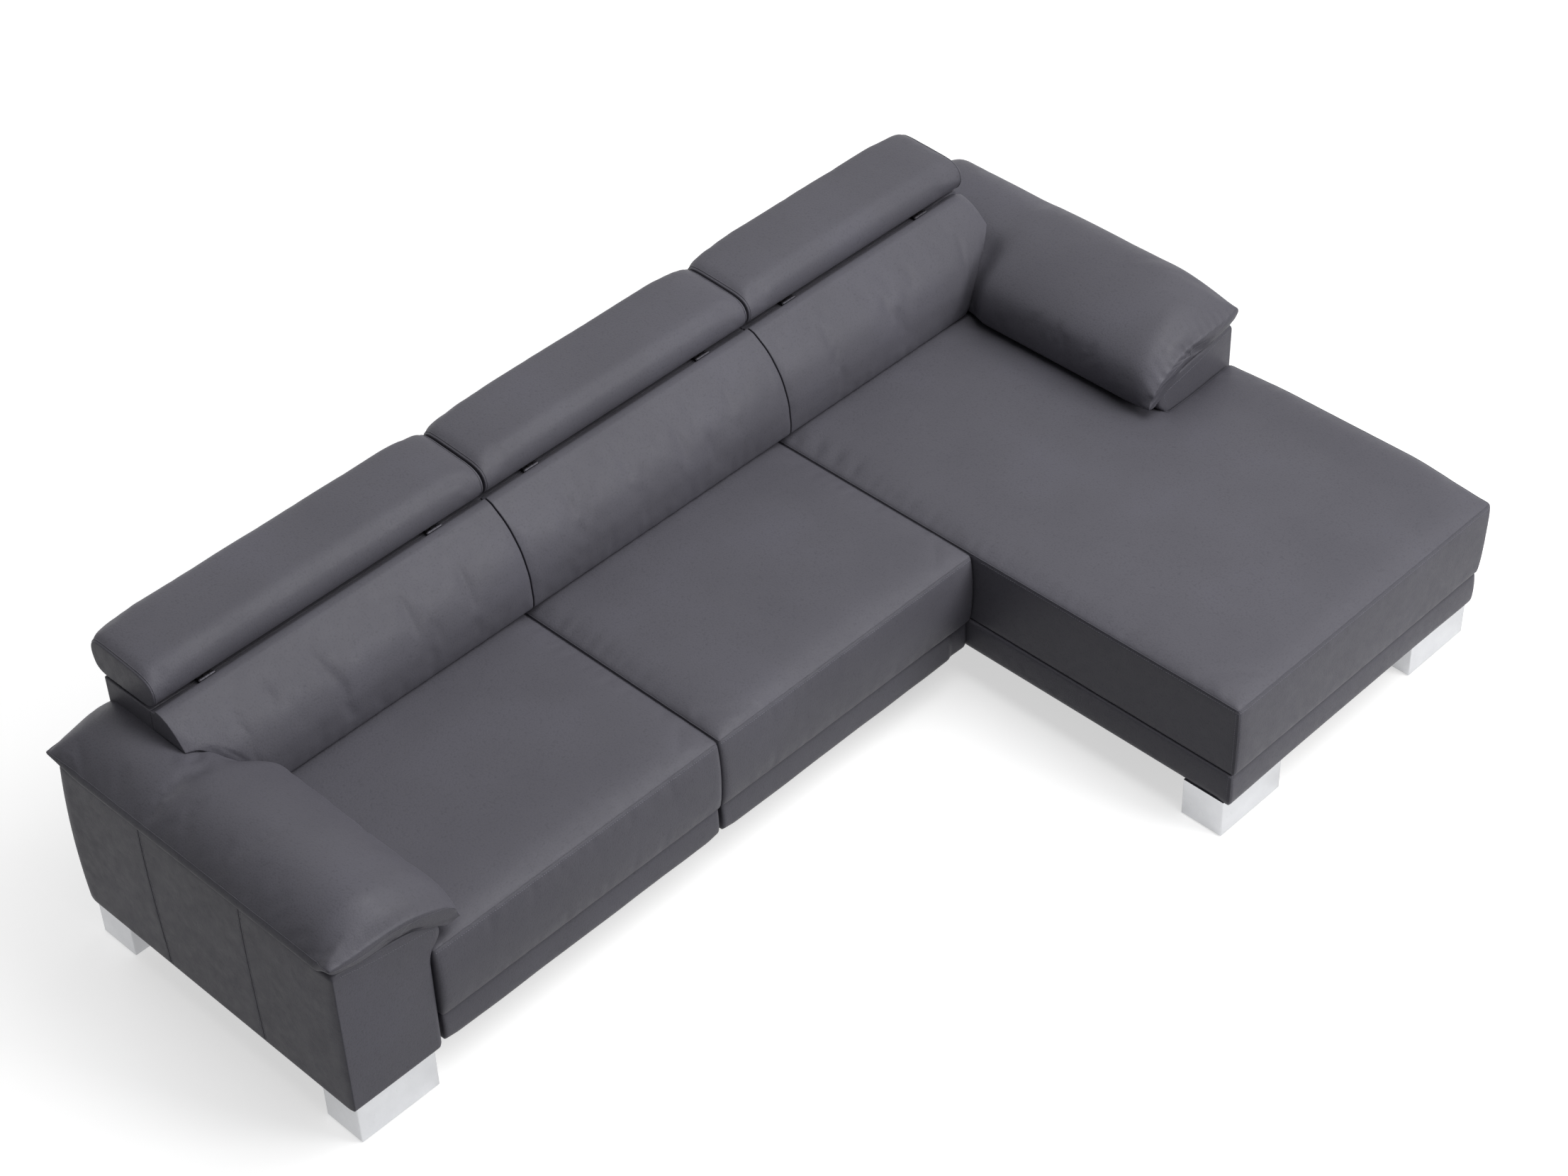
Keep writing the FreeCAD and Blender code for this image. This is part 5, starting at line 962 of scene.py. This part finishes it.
def chaisePad():
    sizes = chaiseSizes
    xs = evenLines([sizes["left"], sizes["armSide"], sizes["right"]], sizes["cell"])
    ys = evenLines([sizes["front"], sizes["armFront"], sizes["back"]], sizes["cell"])
    zs = evenLines([sizes["bottom"], sizes["seam"]], sizes["cell"])
    points, faces, keys = blockShell(
        xs, ys, zs, lambda x, y: x < sizes["armSide"] or y < sizes["armFront"])
    x, y, z = points.T.copy()
    top = keys[:, 2] == len(zs) - 1
    low = keys[:, 2] == 0
    left, right = x - sizes["left"], sizes["right"] - x
    front, back = y - sizes["front"], sizes["back"] - y
    arm = np.hypot(np.maximum(sizes["armSide"] - x, 0), np.maximum(sizes["armFront"] - y, 0))
    body, crown = np.ones(len(x)), np.ones(len(x))
    for distance in (left, right, front, back, arm):
        body *= shoulder(distance, sizes["shoulder"])
        crown *= ramp(distance, sizes["crownRun"])
    swell = panelSwell(z, sizes["bottom"], sizes["seam"]) * sizes["swell"]
    points[:, 0] += np.where(left == 0, -swell * sizes["leftShare"], 0)
    points[:, 0] += np.where(right == 0, swell, 0)
    points[:, 1] -= np.where(front == 0, swell, 0)
    inwards = sizes["lean"] * (sizes["seam"] - z) / (sizes["seam"] - sizes["bottom"])
    points[:, 0] -= inwards * blendStep(x, sizes["leanFrom"], sizes["right"])
    points[:, 2] = np.where(top, z + body * sizes["rise"] + crown * sizes["crown"], z)
    fuller = chaiseEdge(x, y) * ((z - sizes["bottom"]) / (sizes["seam"] - sizes["bottom"])) ** 2
    points[:, 0] += sizes["edgeBulge"] * fuller
    points[:, 2] += sizes["edgeLift"] * fuller
    edge = np.minimum.reduce([left, right, front, back, arm])
    seam = top & (edge < 1)
    points = sag(points, faces, sizes["uneven"], sizes["unevenSize"], 5.5,
                 np.where(top, ramp(edge, sizes["calmRun"]), 0))
    held = seam | low | (back < 1)
    loose = (front < 1) & (left > sizes["leftWidth"]) | (right < 1)
    reach = sizes["reach"]
    reach = np.where(top, reach["top"], np.where(loose, reach["panel"], reach["left"]))
    points = stuffed(points, faces, held, reach)
    obj = softPiece("chaise_leather_pad", points, faces, "base",
                    ["chaise_cushion", "chaise_front_panel", "chaise_left_panel",
                     "chaise_right_panel"])
    level, rowLevel = sizes["seam"], sizes["seam"] - sizes["rowDrop"]
    corners = [(sizes["left"], sizes["seamEnd"]), (sizes["left"], sizes["front"]),
               (sizes["right"], sizes["front"]), (sizes["right"], sizes["armFront"]),
               (sizes["armSide"], sizes["armFront"]), (sizes["armSide"], sizes["seamEnd"])]
    path = straightRuns([(*a, level) for a in corners])
    fuller = chaiseEdge(path[:, 0], path[:, 1])[:, None]
    path += fuller * [sizes["edgeBulge"], 0, sizes["edgeLift"]]
    sew(obj, "base", "seam", path, sizes["seamLift"])
    rowX, rowY = sizes["left"] - sizes["rowOut"], sizes["front"] - sizes["rowOut"]
    path = straightRuns([(rowX, sizes["rowEnds"][0], rowLevel), (rowX, rowY, rowLevel),
                         (sizes["right"], rowY, rowLevel),
                         (sizes["right"], sizes["rowEnds"][1], rowLevel)])
    path += chaiseEdge(path[:, 0], path[:, 1])[:, None] * [0, 0, sizes["edgeLift"]]
    sew(obj, "base", "stitch", path, stitchLift)
    shift = sizes["stitchShift"]
    for x0, foot, way in ((sizes["left"], sizes["left"], 1),
                          (sizes["right"], sizes["right"] - sizes["postLean"], -1)):
        post = smoothRun([(x0, sizes["front"], level - sizes["postDrop"]),
                          (foot, sizes["front"], sizes["postFoot"])])
        sewSeam(obj, "base", post, sizes["postLift"], [(shift * way, 0, 0), (0, shift, 0)])


chaiseBandSizes = {
    "left": 492.5, "right": 1462.5, "front": -884.5, "back": -76.3, "leftBack": -34,
    "bottom": 112.5, "top": 208.7, "thick": 36, "cell": 12, "swell": 3.0, "tuck": 5.0,
    "drop": 5.0, "reach": 160, "post": (204, 118), "postLift": -0.3, "stitchShift": 8,
}


def chaiseBand():
    sizes = chaiseBandSizes
    inLeft, inRight = sizes["left"] + sizes["thick"], sizes["right"] - sizes["thick"]
    inFront = sizes["front"] + sizes["thick"]
    xs = evenLines([sizes["left"], inLeft, inRight, sizes["right"]], sizes["cell"])
    ys = evenLines([sizes["front"], inFront, sizes["back"], sizes["leftBack"]], sizes["cell"])
    zs = evenLines([sizes["bottom"], sizes["top"]], sizes["cell"])
    points, faces, keys = blockShell(
        xs, ys, zs, lambda x, y: x < inLeft or (x > inRight and y < sizes["back"]) or y < inFront)
    x, y, z = points.T.copy()
    swell = panelSwell(z, sizes["bottom"], sizes["top"]) * sizes["swell"]
    tuck = np.where(keys[:, 2] == 0, sizes["tuck"], 0)
    points[:, 0] += np.where(x == sizes["left"], tuck - swell, 0)
    points[:, 0] += np.where(x == sizes["right"], swell - tuck, 0)
    points[:, 1] += np.where(y == sizes["front"], tuck - swell, 0)
    corner = np.minimum(x - sizes["left"], sizes["right"] - x)
    drop = sizes["drop"] * np.exp(-(corner / sizes["reach"]) ** 2) * (y < inFront)
    points[:, 2] -= drop * (1 - (z - sizes["bottom"]) / (sizes["top"] - sizes["bottom"]))
    obj = softPiece("chaise_leather_band", points, faces, "base", ["chaise_lower_band"])
    post = smoothRun([(sizes["left"], sizes["front"], z0) for z0 in sizes["post"]])
    shift = sizes["stitchShift"]
    sewSeam(obj, "base", post, sizes["postLift"], [(shift, 0, 0), (0, shift, 0)])


chaisePad()
chaiseBand()
print("chaise made")

# back: two covers, three cushions and a folding headrest above each

backSizes = {
    "cell": 18, "front": 697, "back": 860, "bottom": 112.5, "top": 698, "crisp": 4,
    "rearSwell": 4.0, "swellEdge": 150, "uneven": 1.6, "unevenSize": 260,
    "endRise": 3.0, "endLength": (55, 100), "riseFrom": 600, "riseRun": 94,
    "beltLevel": 645, "beltInset": 3, "beltOut": 3, "beltStitch": 7,
    "post": (126, 640), "postOut": 4, "seamLift": 0.4, "stitchShift": 6,
    "places": {"main": (-1333.5, 509), "chaise": (512, 1302.5)},
}


def backCover(key):
    sizes = backSizes
    left, right = sizes["places"][key]
    xs, ys, zs = (evenLines([a, a + sizes["crisp"], b - sizes["crisp"], b], sizes["cell"])
                  for a, b in ((left, right), (sizes["front"], sizes["back"]),
                               (sizes["bottom"], sizes["top"])))
    points, faces, keys = blockShell(xs, ys, zs)
    x, y, z = points.T.copy()
    outer = right - x if key == "chaise" else x - left
    raised = 1 - blendStep(outer, *sizes["endLength"])
    rise = np.clip((z - sizes["riseFrom"]) / sizes["riseRun"], 0, 1)
    points[:, 2] += sizes["endRise"] * raised * rise
    share = panelSwell(z, sizes["bottom"], sizes["top"])
    rear = keys[:, 1] == len(ys) - 1
    wide = ramp(np.minimum(x - left, right - x), sizes["swellEdge"])
    points[:, 1] += np.where(rear, sizes["rearSwell"] * share * wide, 0)
    points = sag(points, faces, sizes["uneven"], sizes["unevenSize"], 21.0 + left / 100,
                 np.where(rear, share * wide, 0))
    obj = softPiece(f"{key}_back_leather", points, faces, "base", [f"{key}_back_cover"])
    if key == "main":       # the long one is sewn from two panels
        middle, shift = left + (right - left) * 0.5, sizes["stitchShift"]
        post = smoothRun([(middle, sizes["back"] + sizes["postOut"], z0) for z0 in sizes["post"]])
        sewSeam(obj, "base", post, sizes["seamLift"], [(-shift, 0, 0), (shift, 0, 0)])
    beltY = sizes["back"] + sizes["beltOut"]
    belt = smoothRun([(left + sizes["beltInset"], beltY, sizes["beltLevel"]),
                      (right - sizes["beltInset"], beltY, sizes["beltLevel"])])
    sewSeam(obj, "base", belt, sizes["seamLift"], [(0, 0, -sizes["beltStitch"])])


def layAcross(loop, x):
    # a (y, z) section stood across the sofa at x
    return np.stack([np.full(len(loop), x), loop[:, 0], loop[:, 1]], 1)


cushionSizes = {
    "cell": 14, "rear": 697, "seatTop": 446,
    "front": [(446, 540), (470, 536), (543, 542), (600, 558), (640, 582), (677.5, 613),
              (697, 636), (706, 655)],      # z, y
    "frontPoints": 9,
    # the lip that closes the crease below the headrest, clear of the hinges' moving leaves
    "lip": [(655, 706), (662, 708), (669, 709.6), (674, 710.3), (678, 710.3), (680, 709),
            (680.6, 706), (681.5, 703), (684, 700.6), (697, 700)],      # y, z
    "lipStep": 4, "rim": 2, "dome": 0.4,
    # the foot stands on the arm's pillow where it runs over it; u from the arm's outer side
    "over": [(161, 642), (190, 635), (220, 609), (250, 577), (266, 557), (306, 506), (312, 446)],
    "overGap": 1,
    "hollow": 7, "hollowEdge": 160, "hollowTop": 257, "faceBack": 690, "faceFrom": 452,
    # the corner of cushion 3 beside the right arm's pillow is rounded off
    "endDrop": 16.0, "dropLength": 45, "dropFrom": 640, "dropRun": 60,
    "softTop": 694, "softRun": 40, "uneven": 1.6, "unevenSize": 230, "calmRun": 90,
    "heldBelow": 450, "heldAbove": 692, "heldEdge": 3, "reach": (0.3, 4.5),
    "places": {1: (-1333.5, -366), 2: (-363, 509), 3: (512, 1302.5)},
}


def backCushion(number):
    sizes = cushionSizes
    left, right = sizes["places"][number]
    curveZ, curveY = np.array(sizes["front"], float).T

    def section(x, counts):
        u = armSizes["outer"] - abs(x)
        low = sizes["seatTop"]
        if u < sizes["over"][-1][0]:
            low = float(lineAt(sizes["over"], u)) + sizes["overGap"]
        levels = np.linspace(low, curveZ[-1], sizes["frontPoints"])
        front = [(float(np.interp(z, curveZ, curveY)), z) for z in levels]
        runs = [[(sizes["rear"], low), front[0]], front, sizes["lip"],
                [sizes["lip"][-1], (sizes["rear"], low)]]
        steps = [sizes["cell"], sizes["cell"], sizes["lipStep"], sizes["cell"]]
        return loopOfRuns(runs, steps, counts)

    # the loops keep the counts of the tallest section, which is in the middle
    full = section((left + right) / 2, None)[1]
    points, faces = sweptBody(lambda x, counts: section(x, full), left, right, sizes, layAcross)
    x, y, z = points.T
    edge = np.minimum(x - left, right - x)
    face = (y < sizes["faceBack"]) & (z > sizes["faceFrom"])
    middle = np.clip((z - sizes["seatTop"]) / sizes["hollowTop"], 0, 1)
    hollow = sizes["hollow"] * ramp(edge, sizes["hollowEdge"]) * 4 * middle * (1 - middle)
    points[:, 1] -= np.where(face, hollow, 0)
    if number == 3:
        drop = 1 - shoulder(right - x, sizes["dropLength"])
        high = np.clip((z - sizes["dropFrom"]) / sizes["dropRun"], 0, 1)
        points[:, 2] -= sizes["endDrop"] * drop * high
    soft = np.where(face, np.clip((sizes["softTop"] - z) / sizes["softRun"], 0, 1), 0)
    points = sag(points, faces, sizes["uneven"], sizes["unevenSize"], 31.0 + number,
                 soft * ramp(edge, sizes["calmRun"]))
    held = (y > sizes["faceBack"]) | (edge < sizes["heldEdge"])
    held = held | (z < sizes["heldBelow"]) | (z > sizes["heldAbove"])
    least, most = sizes["reach"]
    points = stuffed(points, faces, held, least + most * soft)
    softPiece(f"back_leather_cushion_{number}", points, faces, "base",
              [f"back_cushion_{number}"])


headSizes = {
    "cell": 11, "rim": 4, "dome": 1.0,
    "outline": [(705, 711.8), (690, 715), (680, 726), (674, 743), (675, 762), (686, 779),
                (710, 789), (762, 793.5), (815, 796), (852, 797), (876, 793), (889, 780),
                (893, 761), (891, 739), (882, 720), (862, 712.5), (835, 711.8), (770, 711.8),
                (705, 711.8)],      # y, z
    "topSwell": 18.0, "rearSwell": 16.0, "swellLength": 150, "cornerPull": (7.0, 6.0),
    "cornerLength": 30,
    # where a point counts as rear, top or underside: from this y or z, over this length
    "rear": (800, 80), "rearAbove": (715, 40), "top": (755, 38), "under": (730, 16),
    "underBehind": (695, 15),
    "endDrop": 8.0, "dropLength": 26,       # the ends reach down to the back cover
    "heldBelow": 722, "heldEdge": 8, "uneven": 1.4, "unevenSize": 190, "calmRun": 60,
    "reach": 3.0, "seamInset": 7, "seamLift": 0.6,
    "places": {1: (-1333.5, -366.5), 2: (-362.5, 508.5), 3: (512.5, 1302.5)},
}


def headrest(number):
    sizes = headSizes
    left, right = sizes["places"][number]
    outline = np.array(sizes["outline"], float)

    def part(values, key):
        # how far the values lie into one of the outline's parts, 0 to 1
        start, length = sizes[key]
        return np.clip((values - start) / length, 0, 1)

    def section(x, counts):
        edge = min(x - left, right - x)
        full = float(shoulder(edge, sizes["swellLength"]))
        corner = 1 - float(shoulder(edge, sizes["cornerLength"]))
        line = outline.copy()
        back = part(line[:, 0], "rear") * part(line[:, 1], "rearAbove")
        top = part(line[:, 1], "top")
        line[:, 0] += back * (sizes["rearSwell"] * full - sizes["cornerPull"][0] * corner)
        line[:, 1] += top * (sizes["topSwell"] * full - sizes["cornerPull"][1] * corner)
        under, length = sizes["under"]
        rest = np.clip((under - line[:, 1]) / length, 0, 1) * part(line[:, 0], "underBehind")
        line[:, 1] -= sizes["endDrop"] * rest * (1 - float(ramp(edge, sizes["dropLength"])))
        return loopOfRuns([line], [sizes["cell"]], counts)

    points, faces = sweptBody(section, left, right, sizes, layAcross)
    x, y, z = points.T
    edge = np.minimum(x - left, right - x)
    free = (z > sizes["heldBelow"]) & (edge > sizes["heldEdge"])
    points = sag(points, faces, sizes["uneven"], sizes["unevenSize"], 41.0 + number,
                 np.where(free, ramp(edge, sizes["calmRun"]), 0))
    points = stuffed(points, faces, ~free, np.where(free, sizes["reach"], 0.0))
    name = f"headrest_{number}"
    obj = softPiece(f"{name}_leather", points, faces, name, [name])
    for x0 in (left + sizes["seamInset"], right - sizes["seamInset"]):
        sew(obj, name, "seam", layAcross(section(x0, None)[0], x0), sizes["seamLift"])


for key in ("main", "chaise"):
    backCover(key)
for number in (1, 2, 3):
    backCushion(number)
for number in (1, 2, 3):
    headrest(number)
print("back made")

# linings below, stapled to the frames

liningSizes = {
    "thick": 1.0, "level": 112.0, "sink": 5.0, "sinkRun": 300, "cell": 30,
    "seats": {"x": (-1230.2, 491), "y": (-10, 794.6)},
    "chaise": {"x": (533, 1423.3), "y": (-743.5, 794.6)},
}


def underLining(key):
    sizes = liningSizes
    (left, right), (front, back) = sizes[key]["x"], sizes[key]["y"]
    xs, ys = evenLines([left, right], sizes["cell"]), evenLines([front, back], sizes["cell"])
    points, faces = [], []
    for j, y in enumerate(ys):
        for i, x in enumerate(xs):
            share = ramp(min(x - left, right - x), sizes["sinkRun"])
            share = share * ramp(min(y - front, back - y), sizes["sinkRun"])
            points.append((x, y, sizes["level"] - sizes["sink"] * float(share)))
            if i and j:
                row = len(xs)
                faces.append([(j - 1) * row + i - 1, (j - 1) * row + i, j * row + i,
                              j * row + i - 1])
    obj = newMesh(f"{key}_under_lining", points, faces, lining)
    solid = obj.modifiers.new("thickness", "SOLIDIFY")
    solid.thickness = sizes["thick"] * mm
    settled(obj)
    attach(obj, "base")
    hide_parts("dust_covers")


underLining("seats")
underLining("chaise")
sewAll()
print("linings and seams made")

# floor and world: "white" is the floor's own light where the camera sees it, "bounce" its colour
# for every other ray, and "sky" the world's strength on the object
stageSizes = {"floor": 30.0, "white": 0.59, "pale": "#cccccc", "paler": "#d0d0d0",
              "speck": 12, "bounce": "#56565c", "sky": 0.14}


def seenDirectly(tree):
    # 1 for rays from the camera and in reflections, 0 for the light that reaches the object
    path = addNode(tree, "ShaderNodeLightPath")
    return addNode(tree, "ShaderNodeMath", {
        0: path.outputs["Is Camera Ray"], 1: path.outputs["Is Glossy Ray"]},
        operation="MAXIMUM").outputs["Value"]


def makeFloor():
    # smooth pale studio floor; seen directly it is nearly white, and it keeps the shadow
    material, tree, place = blankMaterial("paleStudioFloor")
    seen = seenDirectly(tree)
    speck = addNode(tree, "ShaderNodeTexNoise", {
        "Vector": place, "Scale": perMetre(stageSizes["speck"]), "Detail": 2.0})
    tone = addNode(tree, "ShaderNodeMix", {
        "Factor": speck.outputs["Fac"], "A": colour(stageSizes["pale"]),
        "B": colour(stageSizes["paler"])}, data_type="RGBA")
    given = addNode(tree, "ShaderNodeMix", {
        "Factor": seen, "A": colour(stageSizes["bounce"]),
        "B": tone.outputs["Result"]}, data_type="RGBA")
    matt = addNode(tree, "ShaderNodeBsdfDiffuse", {"Color": given.outputs["Result"]})
    part = addNode(tree, "ShaderNodeMath", {0: seen, 1: stageSizes["white"]},
                   operation="MULTIPLY")
    white = addNode(tree, "ShaderNodeEmission", {"Strength": part.outputs["Value"]})
    both = addNode(tree, "ShaderNodeAddShader", {0: matt.outputs[0], 1: white.outputs[0]})
    addNode(tree, "ShaderNodeOutputMaterial", {"Surface": both.outputs[0]})
    half = stageSizes["floor"] / 2 / mm
    corners = [(-half, -half, 0), (half, -half, 0), (half, half, 0), (-half, half, 0)]
    floor = newMesh("studioFloor", corners, [[0, 1, 2, 3]], material)


def makeWorld():
    world = bpy.data.worlds.new("studio")
    bpy.context.scene.world = world
    world.use_nodes = True
    tree = world.node_tree
    tree.nodes.clear()
    strength = addNode(tree, "ShaderNodeMapRange", {
        "Value": seenDirectly(tree), "To Min": stageSizes["sky"], "To Max": 1.0})
    sky = addNode(tree, "ShaderNodeBackground", {
        "Color": colour("#ffffff"), "Strength": strength.outputs["Result"]})
    addNode(tree, "ShaderNodeOutputWorld", {"Surface": sky.outputs[0]})


lampSizes = {
    "frontBox": {"kind": "AREA", "at": (3.6, -7.6, 4.4), "to": (0.2, 0.2, 0.4), "size": 3.6,
                 "power": 385},
    "topBox": {"kind": "AREA", "at": (0.8, -1.4, 4.0), "to": (0.5, 0.0, 0.4), "size": 2.4,
               "power": 62},
    "rearFill": {"kind": "AREA", "at": (0.5, 7.5, 2.6), "to": (0.0, 0.8, 0.4), "size": 3.0,
                 "power": 60},
    "skyPanel": {"kind": "SUN", "at": (1.3, -1.1, 5.0), "to": (0.0, 0.0, 0.0), "size": 0.95,
                 "power": 1.25},
}


def makeLamps():
    for name, sizes in lampSizes.items():
        lamp = bpy.data.lights.new(name, sizes["kind"])
        if sizes["kind"] == "AREA":
            lamp.shape = "SQUARE"
            lamp.size = sizes["size"]
        else:
            lamp.angle = sizes["size"]
        lamp.energy = sizes["power"]
        obj = bpy.data.objects.new(name, lamp)
        bpy.context.scene.collection.objects.link(obj)
        at, to = Vector(sizes["at"]), Vector(sizes["to"])
        turn = (to - at).to_track_quat("-Z", "Y").to_matrix().to_4x4()
        obj.matrix_world = Matrix.Translation(at) @ turn


# the photograph's camera: its place, its angles in radians, and its focal length and picture
# width in pixels
viewSizes = {"at": (-3973.8, -3969.5, 5610.9), "yaw": 0.7776, "pitch": 0.7288,
             "roll": -0.0384, "focal": 4614.55, "width": 2212, "sensor": 36, "far": 100}


def makeCamera():
    sizes = viewSizes
    a, e, r = sizes["yaw"], sizes["pitch"], sizes["roll"]
    forward = Vector((math.sin(a) * math.cos(e), math.cos(a) * math.cos(e), -math.sin(e)))
    right = Vector((math.cos(a), -math.sin(a), 0))
    up = right.cross(forward)
    turnedRight = right * math.cos(r) + up * math.sin(r)
    turnedUp = up * math.cos(r) - right * math.sin(r)
    camera = bpy.data.cameras.new("photoCamera")
    camera.sensor_fit = "HORIZONTAL"
    camera.sensor_width = sizes["sensor"]
    camera.lens = sizes["focal"] / sizes["width"] * camera.sensor_width
    camera.clip_end = sizes["far"]
    obj = bpy.data.objects.new("photoCamera", camera)
    bpy.context.scene.collection.objects.link(obj)
    turn = Matrix((turnedRight, turnedUp, -forward)).transposed().to_4x4()
    obj.matrix_world = Matrix.Translation(Vector(sizes["at"]) * mm) @ turn
    bpy.context.scene.camera = obj


makeFloor()
makeWorld()
makeLamps()
makeCamera()
bpy.context.scene.view_settings.view_transform = "Standard"
print("stage, lamps and camera made")
